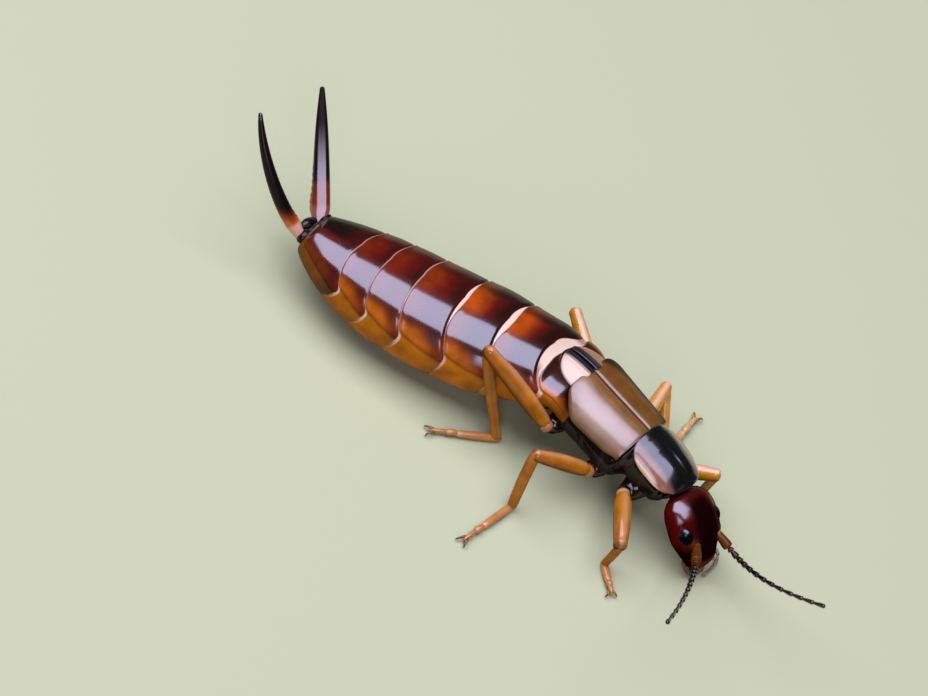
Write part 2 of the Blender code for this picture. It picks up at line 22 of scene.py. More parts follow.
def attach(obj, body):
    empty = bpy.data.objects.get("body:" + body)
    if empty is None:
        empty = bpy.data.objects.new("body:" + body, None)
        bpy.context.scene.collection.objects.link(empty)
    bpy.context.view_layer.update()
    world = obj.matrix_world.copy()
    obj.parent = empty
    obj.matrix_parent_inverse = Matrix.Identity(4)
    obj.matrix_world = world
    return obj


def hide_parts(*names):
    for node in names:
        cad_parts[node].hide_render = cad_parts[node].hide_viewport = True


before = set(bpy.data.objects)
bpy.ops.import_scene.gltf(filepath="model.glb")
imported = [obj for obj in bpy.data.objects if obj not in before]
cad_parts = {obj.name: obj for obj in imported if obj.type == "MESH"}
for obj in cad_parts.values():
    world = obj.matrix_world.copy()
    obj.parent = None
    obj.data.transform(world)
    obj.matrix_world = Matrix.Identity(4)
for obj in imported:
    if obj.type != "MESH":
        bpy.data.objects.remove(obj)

MM = 0.001
CENTRE = Vector((-0.3469, 2.5335, 0.0))
UP = Vector((0.0, 0.0, 1.0))

Marks = Tuple[float, ...]
Amount = TypeVar("Amount", float, Vector)
PLAIN: Marks = (0.0, 0.0, 0.0, 0.0)
LOG = logging.getLogger("earwig")


class Hand(Enum):
    """The two sides of the animal; the value is the sign of its own X axis."""

    LEFT = 1.0
    RIGHT = -1.0

    @property
    def word(self) -> str:
        """The side's word in piece names."""
        return self.name.lower()


# ---- numbers and places


def to_row(point: Vector) -> Vector:
    """Turn a point in millimetres into metres in the shared frame."""
    return (point - CENTRE) * MM


def mix(low: Amount, high: Amount, share: float) -> Amount:
    """Blend two numbers or vectors."""
    return low * (1.0 - share) + high * share


def smooth(share: float) -> float:
    """Ease from 0 to 1."""
    share = min(max(share, 0.0), 1.0)
    return share * share * (3.0 - 2.0 * share)


def bump(value: float, middle: float, width: float) -> float:
    """Give a soft hill, 1 at its middle and near 0 two widths away."""
    return math.exp(-(((value - middle) / width) ** 2))


def signed_power(value: float, power: float) -> float:
    """Raise a number's size to a power and keep its sign."""
    return math.copysign(abs(value) ** power, value)


def rounded(share: float, ends: float, least: float = 0.12) -> float:
    """Give a factor that rounds off both ends of a piece over a share of its length.

    Args:
        share: the place along the length, 0 to 1.
        ends: the share that each end takes.
        least: the least factor.

    Returns:
        The factor, 1 between the ends.
    """
    near = min(share, 1.0 - share) / ends
    if near >= 1.0:
        return 1.0
    return max(least, math.sqrt(max(0.0, 1.0 - (1.0 - near) ** 2)))


def bezier(points: Sequence[Vector], share: float) -> Vector:
    """Read a cubic curve through its four control points.

    Args:
        points: the control points.
        share: the place along the curve, 0 to 1.

    Returns:
        The point.
    """
    rest = 1.0 - share
    weights = (rest**3, 3 * rest**2 * share, 3 * rest * share**2, share**3)
    total = Vector((0.0, 0.0, 0.0))
    for weight, point in zip(weights, points):
        total += point * weight
    return total


def measured(points: Sequence[Vector], count: int = 400) -> List[float]:
    """List the curve's shares that lie at even distances along it.

    Args:
        points: the curve's control points.
        count: the number of steps.

    Returns:
        The shares, from 0 to 1.
    """
    spots = [bezier(points, index / count) for index in range(count + 1)]
    runs = [0.0]
    for first, second in zip(spots, spots[1:]):
        runs.append(runs[-1] + (second - first).length)
    shares, index = [], 0
    for step in range(count + 1):
        while index < count - 1 and runs[index + 1] < runs[-1] * step / count:
            index += 1
        part = (runs[-1] * step / count - runs[index]) / max(runs[index + 1] - runs[index], 1e-9)
        shares.append((index + min(max(part, 0.0), 1.0)) / count)
    return shares


def straight(start: Vector, end: Vector, bow: Vector = Vector((0, 0, 0))) -> Tuple[Vector, ...]:
    """Give the four control points of a nearly straight run, bowed by a vector."""
    return (start, mix(start, end, 1 / 3) + bow, mix(start, end, 2 / 3) + bow, end)


def heading(angle: float, rise: float) -> Vector:
    """Turn a compass angle from +X toward +Y and a rise, in degrees, into a direction.

    Args:
        angle: the compass angle.
        rise: the angle above the level.

    Returns:
        The direction.
    """
    level = math.cos(math.radians(rise))
    turn = math.radians(angle)
    return Vector((level * math.cos(turn), level * math.sin(turn), math.sin(math.radians(rise))))


@dataclass(frozen=True)
class Axes:
    """A body part's own place with a forward, a left and an up direction."""

    at: Vector
    yaw: float
    pitch: float
    roll: float

    def directions(self) -> Tuple[Vector, Vector, Vector]:
        """Give the forward, left and up directions.

        Returns:
            The three directions, each of length 1.
        """
        forward = heading(-90.0 - self.yaw, -self.pitch)
        level_left = forward.cross(Vector((0.0, 0.0, -1.0))).normalized()
        level_up = level_left.cross(forward).normalized() * -1.0
        turn = math.radians(self.roll)
        left = level_left * math.cos(turn) - level_up * math.sin(turn)
        return forward, left, level_up * math.cos(turn) + level_left * math.sin(turn)

    def point(self, along: float, out: float, up: float) -> Vector:
        """Give the point, in millimetres, of a place measured along these axes."""
        ahead, left, over = self.directions()
        return self.at + ahead * along + left * out + over * up


THORAX = Axes(Vector((0.42, -0.03, 2.06)), 0.0, 5.0, 6.0)
HEAD = Axes(Vector((0.373, -2.409, 1.917)), 8.0, 40.0, 8.0)
THORAX_AHEAD, THORAX_LEFT, THORAX_UP = THORAX.directions()
HEAD_AHEAD, HEAD_LEFT, HEAD_UP = HEAD.directions()
FEELER_ALONG, FEELER_OUT, FEELER_UP = 1.40, 0.50, 0.42


# ---- laying surfaces


@dataclass
class Station:
    """One ring of a laid surface: its middle, its two directions and its half sizes."""

    centre: Vector
    side: Vector
    up: Vector
    wide: float
    high: float
    share: float


Outline = Callable[[Station, float], Tuple[float, float, Marks]]


def oval(station: Station, turn: float, power: float = 2.0, lift: float = 0.0) -> Tuple[float, float]:
    """Give the point of an oval section at an angle from its top, raised off it by a lift.

    Args:
        station: the ring.
        turn: the angle from the ring's top, in radians.
        power: 2 for an ellipse, more for a boxier section.
        lift: the rise in millimetres.

    Returns:
        How far the point lies across and above the middle.
    """
    across = station.wide * signed_power(math.sin(turn), 2.0 / power)
    above = station.high * signed_power(math.cos(turn), 2.0 / power)
    return across + lift * math.sin(turn), above + lift * math.cos(turn)


def select_only(piece: bpy.types.Object) -> None:
    """Leave one object selected and active.

    Args:
        piece: the object.
    """
    bpy.ops.object.select_all(action="DESELECT")
    piece.select_set(True)
    bpy.context.view_layer.objects.active = piece


def tidy_mesh(piece: bpy.types.Object) -> None:
    """Turn a piece's faces outwards and shade it smooth.

    Args:
        piece: the object.
    """
    select_only(piece)
    bpy.ops.object.mode_set(mode="EDIT")
    bpy.ops.mesh.select_all(action="SELECT")
    bpy.ops.mesh.normals_make_consistent(inside=False)
    bpy.ops.object.mode_set(mode="OBJECT")
    bpy.ops.object.shade_smooth()


Place = Callable[[int, float], Tuple[Vector, Marks]]


def lay_points(name: str, sides: int, rings: int, place: Place) -> bpy.types.Object:
    """Add a ball and move each of its rings' points to a place of its own.

    Args:
        name: the new piece's name.
        sides: how many points each ring has.
        rings: how many rings there are between the two closing points.
        place: gives a point in millimetres and its marks for a ring's number and an angle.

    Returns:
        The closed piece, with its marks layer.
    """
    bpy.ops.object.select_all(action="DESELECT")
    bpy.ops.mesh.primitive_uv_sphere_add(segments=sides, ring_count=rings + 1, radius=1.0)
    piece = bpy.context.active_object
    piece.name = name
    # A new layer moves the others in memory, so both are looked up after both are made.
    piece.data.color_attributes.new(name="marks", type="FLOAT_COLOR", domain="POINT")
    piece.data.attributes.new(name="dull", type="FLOAT", domain="POINT")
    layer, dull = piece.data.color_attributes["marks"], piece.data.attributes["dull"]
    ends = {0: Vector((0.0, 0.0, 0.0)), rings - 1: Vector((0.0, 0.0, 0.0))}
    poles = []
    for vert in piece.data.vertices:
        level = round(math.acos(max(-1.0, min(1.0, vert.co.z))) / math.pi * (rings + 1))
        ring = min(max(level - 1, 0), rings - 1)
        point, marks = place(ring, math.atan2(vert.co.y, vert.co.x))
        layer.data[vert.index].color = marks[:4]
        dull.data[vert.index].value = marks[4] if len(marks) > 4 else 0.0
        vert.co = to_row(point)
        if level in (0, rings + 1):
            poles.append((vert, ring))
        elif ring in ends:
            ends[ring] += vert.co / sides
    for vert, ring in poles:
        vert.co = ends[ring]
    tidy_mesh(piece)
    return piece


def lay_skin(name: str, sides: int, stations: Sequence[Station], outline: Outline) -> bpy.types.Object:
    """Lay a closed surface over stations, as clay is drawn over a wire.

    Args:
        name: the new piece's name.
        sides: how many points each ring has.
        stations: one for each ring.
        outline: gives a ring's point and marks at an angle from the ring's top.

    Returns:
        The closed piece, with its marks layer.
    """

    def place(ring: int, turn: float) -> Tuple[Vector, Marks]:
        """Set the outline's point across the station's middle."""
        station = stations[ring]
        across, above, marks = outline(station, turn)
        return station.centre + station.side * across + station.up * above, marks

    return lay_points(name, sides, len(stations), place)


def end_shares(count: int) -> List[float]:
    """Spread shares from 0 to 1, closer together toward both ends."""
    return [0.5 - 0.5 * math.cos(math.pi * index / (count - 1)) for index in range(count)]


def stations_along(
    points: Sequence[Vector],
    count: int,
    wide: Callable[[float], float],
    squash: float = 1.0,
    over: Vector = UP,
    shares: Sequence[float] = (),
) -> List[Station]:
    """Set stations along a cubic curve.

    Args:
        points: the curve's four control points.
        count: how many stations to spread evenly, unless shares are given.
        wide: gives the half width at a share of the way.
        squash: half height as a share of half width.
        over: the direction that the sections' tops face.
        shares: the places of the stations, where they aren't even.

    Returns:
        The stations in order.
    """
    stations = []
    for share in shares or [index / (count - 1) for index in range(count)]:
        ahead = bezier(points, min(share + 0.01, 1.0)) - bezier(points, max(share - 0.01, 0.0))
        side = ahead.cross(over).normalized()
        up = side.cross(ahead).normalized()
        size = wide(share)
        stations.append(Station(bezier(points, share), side, up, size, size * squash, share))
    return stations


def join_pieces(name: str, pieces: Sequence[bpy.types.Object]) -> bpy.types.Object:
    """Join pieces into one object of a new name.

    Args:
        name: the new name.
        pieces: the objects, which become one.

    Returns:
        The joined object.
    """
    bpy.ops.object.select_all(action="DESELECT")
    for piece in pieces:
        piece.select_set(True)
    bpy.context.view_layer.objects.active = pieces[0]
    bpy.ops.object.join()
    joined = bpy.context.active_object
    joined.name = name
    return joined


def set_in_place(piece: bpy.types.Object, finish: bpy.types.Material, slot: str, *nodes: str) -> None:
    """Dress a piece, ride it on the body and let it stand for its solids.

    Args:
        piece: the finished piece.
        finish: its material.
        slot: the record's material slot; not used.
        nodes: the solids that it stands for, if any.
    """
    piece.data.materials.clear()
    piece.data.materials.append(finish)
    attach(piece, "root")
    if nodes:
        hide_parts(*nodes)
    LOG.info("%s: %d faces", piece.name, len(piece.data.polygons))


# ---- finishes


def linear(code: str) -> Tuple[float, float, float, float]:
    """Turn an sRGB hex colour into a linear one.

    Args:
        code: the colour, as #RRGGBB.

    Returns:
        Red, green, blue and alpha, each 0 to 1.
    """
    levels = [int(code[start : start + 2], 16) / 255.0 for start in (1, 3, 5)]
    red, green, blue = (v / 12.92 if v <= 0.04045 else ((v + 0.055) / 1.055) ** 2.4 for v in levels)
    return red, green, blue, 1.0


def add_node(tree: bpy.types.NodeTree, kind: str, settings: Dict, links: Dict) -> bpy.types.Node:
    """Add a shader node.

    Args:
        tree: the material's node tree.
        kind: the node's type.
        settings: values by socket name or number, or by the node's own property.
        links: source sockets by socket name or number.

    Returns:
        The new node.
    """
    node = tree.nodes.new(kind)
    for key, value in settings.items():
        if isinstance(key, str) and hasattr(node, key):
            setattr(node, key, value)
        else:
            node.inputs[key].default_value = value
    for key, source in links.items():
        tree.links.new(source, node.inputs[key])
    return node


NOISE_LOW, NOISE_HIGH = 0.3, 0.7  # noise rarely leaves this range
DULL_ROUGHENS = 0.22
LIGHT_REACH = 0.28  # how far light travels inside the cuticle, in millimetres
REACH_BY_COLOUR = (1.0, 0.42, 0.16)  # red travels further than green and blue


@dataclass(frozen=True)
class Cuticle:
    """Insect cuticle: hardened chitin under a waxy layer, glossy and a little see-through.

    The colour layers are mixed by the piece's marks, clouded by slow noise where the
    tanning of the cuticle is uneven, and pitted by fine noise. The pits are drawn a little
    coarser than real ones, so that they show. Each size is in millimetres.
    """

    name: str
    base: str
    dark: str = "#0B0506"
    pale: str = "#E2CBA8"
    amber: str = "#A8661C"
    glow: str = "#8A2A0C"
    roughness: float = 0.28
    coat: float = 0.5
    coat_roughness: float = 0.12
    depth: float = 0.12
    cloud_size: float = 0.45
    cloud: float = 0.35
    pit_size: float = 0.035
    pit: float = 0.03
    ior: float = 1.25
    coat_ior: float = 1.5

    def make(self) -> bpy.types.Material:
        """Make the material.

        Returns:
            The material.
        """
        made = bpy.data.materials.new(self.name)
        made.use_nodes = True
        tree = made.node_tree
        shader = tree.nodes["Principled BSDF"]
        place = add_node(tree, "ShaderNodeTexCoord", {}, {}).outputs["Object"]
        layer = add_node(tree, "ShaderNodeAttribute", {"attribute_name": "marks"}, {})
        tree.links.new(self.layered(tree, layer, place), shader.inputs["Base Color"])
        self.relief(tree, shader, place)
        shader.inputs["IOR"].default_value = self.ior
        shader.inputs["Coat Roughness"].default_value = self.coat_roughness
        shader.inputs["Coat IOR"].default_value = self.coat_ior
        shader.inputs["Subsurface Weight"].default_value = self.depth
        shader.inputs["Subsurface Radius"].default_value = REACH_BY_COLOUR
        shader.inputs["Subsurface Scale"].default_value = LIGHT_REACH * MM
        return made

    def layered(
        self, tree: bpy.types.NodeTree, layer: bpy.types.Node, place: bpy.types.NodeSocket
    ) -> bpy.types.NodeSocket:
        """Mix the colours by the marks; the clouds lie under the pale one.

        Args:
            tree: the material's nodes.
            layer: reads the marks.
            place: the point's place.

        Returns:
            The mixed colour.
        """
        parts = add_node(tree, "ShaderNodeSeparateColor", {}, {0: layer.outputs["Color"]})
        glow = {"Fac": layer.outputs["Alpha"]}
        ground = {"Color1": linear(self.base), "Color2": linear(self.glow)}
        colour = add_node(tree, "ShaderNodeMixRGB", ground, glow).outputs[0]
        for code, share in ((self.amber, "Blue"), (self.dark, "Red")):
            links = {"Fac": parts.outputs[share], "Color1": colour}
            colour = add_node(tree, "ShaderNodeMixRGB", {"Color2": linear(code)}, links).outputs[0]
        cloud = add_node(
            tree,
            "ShaderNodeTexNoise",
            {"Scale": 1.0 / (self.cloud_size * MM), "Detail": 3.0},
            {"Vector": place},
        )
        shade = add_node(
            tree,
            "ShaderNodeMapRange",
            {
                "From Min": NOISE_LOW,
                "From Max": NOISE_HIGH,
                "To Min": 1.0 - self.cloud,
                "To Max": 1.0 + self.cloud,
            },
            {"Value": cloud.outputs["Fac"]},
        )
        colour = add_node(
            tree,
            "ShaderNodeMixRGB",
            {"blend_type": "MULTIPLY", "Fac": 1.0},
            {"Color1": colour, "Color2": shade.outputs[0]},
        ).outputs[0]
        links = {"Fac": parts.outputs["Green"], "Color1": colour}
        return add_node(tree, "ShaderNodeMixRGB", {"Color2": linear(self.pale)}, links).outputs[0]

    def relief(self, tree: bpy.types.NodeTree, shader: bpy.types.Node, place: bpy.types.NodeSocket) -> None:
        """Pit the surface finely, and let the gloss vary with the pits and the dull layer.

        Args:
            tree: the material's nodes.
            shader: takes the relief and the gloss.
            place: the point's place.
        """
        pits = add_node(
            tree,
            "ShaderNodeTexNoise",
            {"Scale": 1.0 / (self.pit_size * MM), "Detail": 2.0},
            {"Vector": place},
        )
        dents = add_node(
            tree,
            "ShaderNodeBump",
            {"Strength": self.pit, "Distance": self.pit_size * MM * 0.5},
            {"Height": pits.outputs["Fac"]},
        )
        tree.links.new(dents.outputs["Normal"], shader.inputs["Normal"])
        smoothest, roughest = self.roughness - 0.03, self.roughness + 0.04
        gloss = add_node(
            tree,
            "ShaderNodeMapRange",
            {"From Min": NOISE_LOW, "From Max": NOISE_HIGH, "To Min": smoothest, "To Max": roughest},
            {"Value": pits.outputs["Fac"]},
        )
        dull = add_node(tree, "ShaderNodeAttribute", {"attribute_name": "dull"}, {}).outputs["Fac"]
        rougher = add_node(
            tree,
            "ShaderNodeMath",
            {"operation": "MULTIPLY_ADD", 1: DULL_ROUGHENS},
            {0: dull, 2: gloss.outputs[0]},
        )
        tree.links.new(rougher.outputs[0], shader.inputs["Roughness"])
        wax = add_node(tree, "ShaderNodeMapRange", {"To Min": self.coat, "To Max": 0.0}, {"Value": dull})
        tree.links.new(wax.outputs[0], shader.inputs["Coat Weight"])


@dataclass(frozen=True)
class EyeGlass:
    """The black eye: clear lenses in a close pack, drawn a little coarser than real ones."""

    name: str = "eye_lenses"
    base: str = "#020305"
    lens: str = "#07080B"
    lens_size: float = 0.034
    dome: float = 0.06
    roughness: float = 0.32
    ior: float = 1.04
    coat_ior: float = 1.55
    coat_roughness: float = 0.22

    def make(self) -> bpy.types.Material:
        """Make the material.

        Returns:
            The material.
        """
        made = bpy.data.materials.new(self.name)
        made.use_nodes = True
        tree = made.node_tree
        shader = tree.nodes["Principled BSDF"]
        place = add_node(tree, "ShaderNodeTexCoord", {}, {}).outputs["Object"]
        cells = add_node(
            tree, "ShaderNodeTexVoronoi", {"Scale": 1.0 / (self.lens_size * MM)}, {"Vector": place}
        )
        domes = add_node(
            tree,
            "ShaderNodeBump",
            {"Strength": self.dome, "Distance": self.lens_size * MM * 0.4, "invert": True},
            {"Height": cells.outputs["Distance"]},
        )
        tree.links.new(domes.outputs["Normal"], shader.inputs["Normal"])
        ramp = add_node(
            tree,
            "ShaderNodeMixRGB",
            {"Color1": linear(self.lens), "Color2": linear(self.base)},
            {"Fac": cells.outputs["Distance"]},
        )
        tree.links.new(ramp.outputs[0], shader.inputs["Base Color"])
        dull = add_node(tree, "ShaderNodeAttribute", {"attribute_name": "dull"}, {}).outputs["Fac"]
        wax = add_node(tree, "ShaderNodeMapRange", {"To Min": 1.0, "To Max": 0.0}, {"Value": dull})
        tree.links.new(wax.outputs[0], shader.inputs["Coat Weight"])
        shader.inputs["Roughness"].default_value = self.roughness
        shader.inputs["IOR"].default_value = self.ior
        shader.inputs["Coat IOR"].default_value = self.coat_ior
        shader.inputs["Coat Roughness"].default_value = self.coat_roughness
        return made


@dataclass(frozen=True)
class Finishes:
    """All finishes of the animal, made once."""

    # Tanned and waxed chitin: a clear gloss over dark red, whose colour shows off the highlight.
    abdomen: Cuticle = Cuticle(
        "abdomen_cuticle",
        base="#4A0702", dark="#0C0402", pale="#C8AE90", amber="#9A5804", glow="#8E3A02",
        roughness=0.24, coat=1.0, coat_roughness=0.13, depth=0.05, cloud=0.30, pit=0.015, ior=1.2,
        coat_ior=1.62,
    )
    # Black chitin: only its gloss shows its form.
    thorax: Cuticle = Cuticle(
        "thorax_cuticle",
        base="#0A0605", pale="#6C5038", amber="#3A2012", glow="#220E08",
        roughness=0.28, coat=0.7, coat_roughness=0.12, depth=0.02, ior=1.08,
    )
    # Chitin that is tan and see-through at the sides, so its highlight is broad and soft.
    shield: Cuticle = Cuticle(
        "shield_cuticle",
        base="#64422F", dark="#050404", pale="#A2865A", amber="#6E4424", glow="#76523E",
        roughness=0.28, coat=0.85, coat_roughness=0.14, depth=0.12, pit=0.04, ior=1.3,
    )
    # Thin, leathery chitin with fine wrinkles, which spread the highlight over the whole case; on the near
    # case a pale patch is a painted highlight.
    wing_case: Cuticle = Cuticle(
        "wing_case_cuticle",
        base="#5E4220", dark="#130C05", pale="#8C785E", amber="#6C4206", glow="#765438",
        roughness=0.40, coat=1.0, coat_roughness=0.25, depth=0.10, cloud=0.26, pit=0.05, ior=1.2,
        coat_ior=1.58,
    )
    # Wing membrane folded many times: milky and nearly matt.
    wing_tip: Cuticle = Cuticle(
        "wing_tip_membrane",
        base="#AA9278", dark="#120A08", pale="#BCA488", amber="#6E4218",
        roughness=0.42, coat=0.3, coat_roughness=0.2, depth=0.2, cloud=0.08, ior=1.4,
    )
    # The smoothest chitin: one bright, round highlight on dark red.
    head: Cuticle = Cuticle(
        "head_cuticle",
        base="#380503", dark="#050202", pale="#7E5430", amber="#5E2806", glow="#3E0603",
        roughness=0.20, coat=1.0, coat_roughness=0.20, depth=0.02, cloud=0.22, pit=0.015, ior=1.0,
        coat_ior=1.7,
    )
    # Amber chitin that lets some light through at its edges.
    leg: Cuticle = Cuticle(
        "leg_cuticle",
        base="#985C02", dark="#140903", pale="#B0906A", amber="#8A4802", glow="#7A4204",
        roughness=0.25, coat=0.8, coat_roughness=0.12, depth=0.16, cloud=0.25, pit=0.02, ior=1.06,
    )
    # A lit copy of the same for the far legs: a brighter, clearer yellow, painted light from behind.
    backlit_leg: Cuticle = Cuticle(
        "clear_leg_cuticle",
        base="#AC7806", dark="#2A1403", pale="#C6B09C", amber="#A46404", glow="#966004",
        roughness=0.25, coat=1.0, coat_roughness=0.10, depth=0.25, cloud=0.20, pit=0.02, ior=1.06,
    )
    # Dark chitin with a glint on each bead, orange at the root.
    feeler: Cuticle = Cuticle(
        "feeler_cuticle",
        base="#1A0C06", dark="#060302", pale="#8E7A66", amber="#4E2402",
        roughness=0.26, coat=0.9, depth=0.05, cloud=0.2, ior=1.1,
    )
    # Soft, pale chitin with a dim gloss.
    mouth: Cuticle = Cuticle(
        "mouth_cuticle",
        base="#4A342A", dark="#0E0606", pale="#8A7666", amber="#6A3E14",
        roughness=0.30, coat=0.6, depth=0.15,
    )
    # The thickest chitin, hard and polished, orange to black.
    forceps: Cuticle = Cuticle(
        "forceps_cuticle",
        base="#4E1408", dark="#040202", pale="#C49E84", amber="#AC4A04", glow="#641C06",
        roughness=0.19, coat=1.0, coat_roughness=0.12, depth=0.05, cloud=0.15, ior=1.2,
        coat_ior=1.62,
    )
    # Single hairs, too thin to show a highlight.
    bristle: Cuticle = Cuticle(
        "bristle_cuticle",
        base="#6E4C26",
        roughness=0.65, coat=0.0, depth=0.0, pit=0.0, cloud=0.1, ior=1.1,
    )
    # Clear lenses over black: a dark dome with one small glint at its rim.
    eye: EyeGlass = EyeGlass()


# ---- bristles


SKINS = (
    "leg_hind_right",
    "leg_middle_right",
    "leg_front_right",
    "leg_hind_left",
    "leg_middle_left",
    "leg_front_left",
    "feeler_left",
    "feeler_right",
)


def unwrapped(skin: int, turn: float, along: float) -> Tuple[float, float]:
    """Give a limb's unwrapped place: each limb is rolled out in a strip of its own."""
    share = (turn / (2.0 * math.pi)) % 1.0
    return (skin + 0.05 + 0.9 * share) / len(SKINS), 0.02 + 0.96 * min(max(along, 0.0), 1.0)


@dataclass
class Bristles:
    """Fine hairs, each a thin cone copied from one pattern and joined in one mesh.

    The map "OFBake" gives each hair a small patch at its root's place on the unwrapped skin.
    """

    name: str
    thick: float = 0.005
    patch: float = 0.003
    roots: List[Tuple[Vector, Vector, float, Tuple[float, float]]] = field(default_factory=list)

    def add(self, root: Vector, way: Vector, length: float, spot: Tuple[float, float]) -> None:
        """Note one hair.

        Args:
            root: its root in millimetres.
            way: its direction.
            length: its length in millimetres.
            spot: its root's place on the unwrapped skin.
        """
        self.roots.append((root, way.normalized(), length, spot))

    def build(self) -> bpy.types.Object:
        """Model one hair and copy it to every root.

        Returns:
            The hairs in one mesh.
        """
        bpy.ops.object.select_all(action="DESELECT")
        bpy.ops.mesh.primitive_cone_add(vertices=4, radius1=1.0, radius2=0.0, depth=1.0)
        pattern = bpy.context.active_object
        points = [vert.co + Vector((0.0, 0.0, 0.5)) for vert in pattern.data.vertices]
        faces = [tuple(face.vertices) for face in pattern.data.polygons]
        bpy.data.objects.remove(pattern, do_unlink=True)
        verts, polygons, places = [], [], []
        for root, way, length, spot in self.roots:
            turn = way.to_track_quat("Z", "Y")
            start = len(verts)
            for point in points:
                wide = 1.0 if point.z < 0.5 else 0.0
                across = Vector((point.x, point.y)) * wide
                verts.append(to_row(root + turn @ Vector((*(across * self.thick), point.z * length))))
                places.append(Vector(spot) + across * self.patch / 2.0)
            polygons.extend(tuple(start + index for index in face) for face in faces)
        mesh = bpy.data.meshes.new(self.name)
        mesh.from_pydata(verts, [], polygons)
        marks = mesh.color_attributes.new(name="marks", type="FLOAT_COLOR", domain="POINT")
        marks.data.foreach_set("color", [0.0] * 4 * len(verts))
        unwrap = mesh.uv_layers.new(name="OFBake")
        for loop in mesh.loops:
            unwrap.data[loop.index].uv = places[loop.vertex_index]
        piece = bpy.data.objects.new(self.name, mesh)
        bpy.context.scene.collection.objects.link(piece)
        return piece


# ---- abdomen


@dataclass
class Abdomen:
    """The ringed hind body: back plates over belly plates, with soft skin between them."""

    line: Tuple[Vector, ...] = (
        Vector((0.29, 2.12, 2.26)),
        Vector((-0.21, 4.50, 1.32)),
        Vector((-1.50, 7.09, 1.15)),
        Vector((-1.775, 9.826, 1.535)),
    )
    waist: Vector = Vector((0.36, 1.15, 1.98))
    waist_share: float = 0.12
    half_width: float = 1.70
    depth_ratio: float = 0.71
    # Hind ends of the back plates as shares of the length, and the soft skin shown before each.
    margins: Tuple[float, ...] = (0.070, 0.2545, 0.434, 0.604, 0.733, 0.844, 1.0)
    soft: Tuple[float, ...] = (0.034, 0.024, 0.014, 0.0045, 0.0040, 0.0040, 0.0)
    plate_steps: Tuple[float, ...] = (
        0.0, 0.015, 0.035, 0.06, 0.09, 0.13, 0.18, 0.24, 0.31, 0.38, 0.46,
        0.54, 0.62, 0.70, 0.77, 0.83, 0.88, 0.92, 0.95, 0.972, 0.988, 1.0,
    )
    soft_steps: Tuple[float, ...] = (0.08, 0.22, 0.42, 0.62, 0.80, 0.94)
    # One number for each plate, from the waist back.
    skin_pale: Tuple[float, ...] = (1.0, 0.95, 0.90, 0.42, 0.36, 0.34, 0.2)
    front_dark: Tuple[float, ...] = (0.95, 0.95, 0.92, 0.80, 0.66, 0.62, 0.75)
    dark_reach: Tuple[float, ...] = (1.30, 0.52, 0.46, 0.42, 0.40, 0.38, 0.34)
    # Belly plates darkened: painted shade at the waist under the thorax, and toward the tail the last plate's
    # own dark red.
    belly_tone_and_shade: Tuple[float, ...] = (0.22, 0.0, 0.0, 0.0, 0.0, 0.16, 0.62)
    flank_amber: Tuple[float, ...] = (1.0, 1.0, 1.0, 1.0, 1.0, 0.72, 0.30)
    edge_column: float = 75.0
    boxiness: float = 2.15
    sides: int = 144
    hair_seed: int = 11

    def rings(self) -> List[Tuple[int, float]]:
        """List the rings as plate numbers and places: 0 to 1 on the plate, to 2 on soft skin.

        Returns:
            The rings, from front to back.
        """
        made = []
        for number in range(len(self.margins)):
            made.extend((number, step) for step in self.plate_steps)
            if self.soft[number]:
                made.extend((number, 1.0 + step) for step in self.soft_steps)
        return made

    def middle(self, share: float) -> Vector:
        """Give the middle line, which runs on forward to the waist under the wings.

        Args:
            share: the place along the line, below 0 ahead of it.

        Returns:
            The point.
        """
        if share >= 0.0:
            return bezier(self.line, share)
        way = (self.line[1] - self.line[0]).normalized()
        ahead = (self.waist, self.waist + Vector((0, 0.35, 0.03)), self.line[0] - way * 0.35, self.line[0])
        return bezier(ahead, 1.0 + share / self.waist_share)

    def axes(self, share: float) -> Tuple[Vector, Vector]:
        """Give the side and up directions across the middle line.

        Args:
            share: the place along the line.

        Returns:
            The two directions.
        """
        share = min(share, 0.99)
        ahead = self.middle(share + 0.01) - self.middle(share - 0.01)
        side = ahead.cross(THORAX_UP).normalized()
        return side, side.cross(ahead).normalized()

    def size(self, share: float) -> Tuple[float, float, float]:
        """Give the half width, the height above and the depth below the middle line.

        Args:
            share: the place along the line.

        Returns:
            The three measures in millimetres.
        """
        grow = smooth(share / 0.34)
        wide = self.half_width * (0.80 + 0.20 * grow)
        if share > 0.42:
            wide *= 1.0 - 0.62 * ((share - 0.42) / 0.58) ** 2.9
        deep = wide * (self.depth_ratio - 0.05 * (1.0 - grow))
        front = smooth((share + 0.02) / 0.10)
        back = smooth((share + self.waist_share) / self.waist_share)
        close = rounded(min(share, 1.0) * 0.5 + 0.5, 0.012, 0.5)
        wide *= mix(0.86, 1.0, back) * close
        return wide, deep * mix(0.42, 1.0, front) * close, deep * mix(0.80, 1.0, back) * close

    def lean(self, turn: float) -> float:
        """Say how far a margin leans toward the head, as a share, at an angle in degrees.

        Args:
            turn: the angle from the top, negative on the right.

        Returns:
            The lean.
        """
        if turn < -75.0:
            return mix(0.040, 0.004, smooth((-75.0 - turn) / 45.0))
        if turn < 0.0:
            return 0.065 * (1.0 - math.cos(math.radians(1.35 * (turn + 25.0))))
        if turn < 75.0:
            return mix(0.011, 0.052, smooth(turn / 50.0))
        return mix(0.052, 0.004, smooth((turn - 75.0) / 60.0))

    def lower_edge(self, step: float) -> float:
        """Give the angle of a back plate's lower edge: it runs up toward the hind corner."""
        return 67.0 + 15.0 * (1.0 - min(step, 1.0)) ** 0.8

    def angle(self, column: float, step: float) -> float:
        """Turn a column's angle so that one column follows the back plates' lower edge.

        Args:
            column: the column's angle in degrees.
            step: the place on the plate.

        Returns:
            The angle from the top in degrees.
        """
        edge, size = self.lower_edge(step), abs(column)
        if size <= self.edge_column:
            size = size / self.edge_column * edge
        else:
            size = 180.0 - (180.0 - size) * (180.0 - edge) / (180.0 - self.edge_column)
        return math.copysign(size, column)

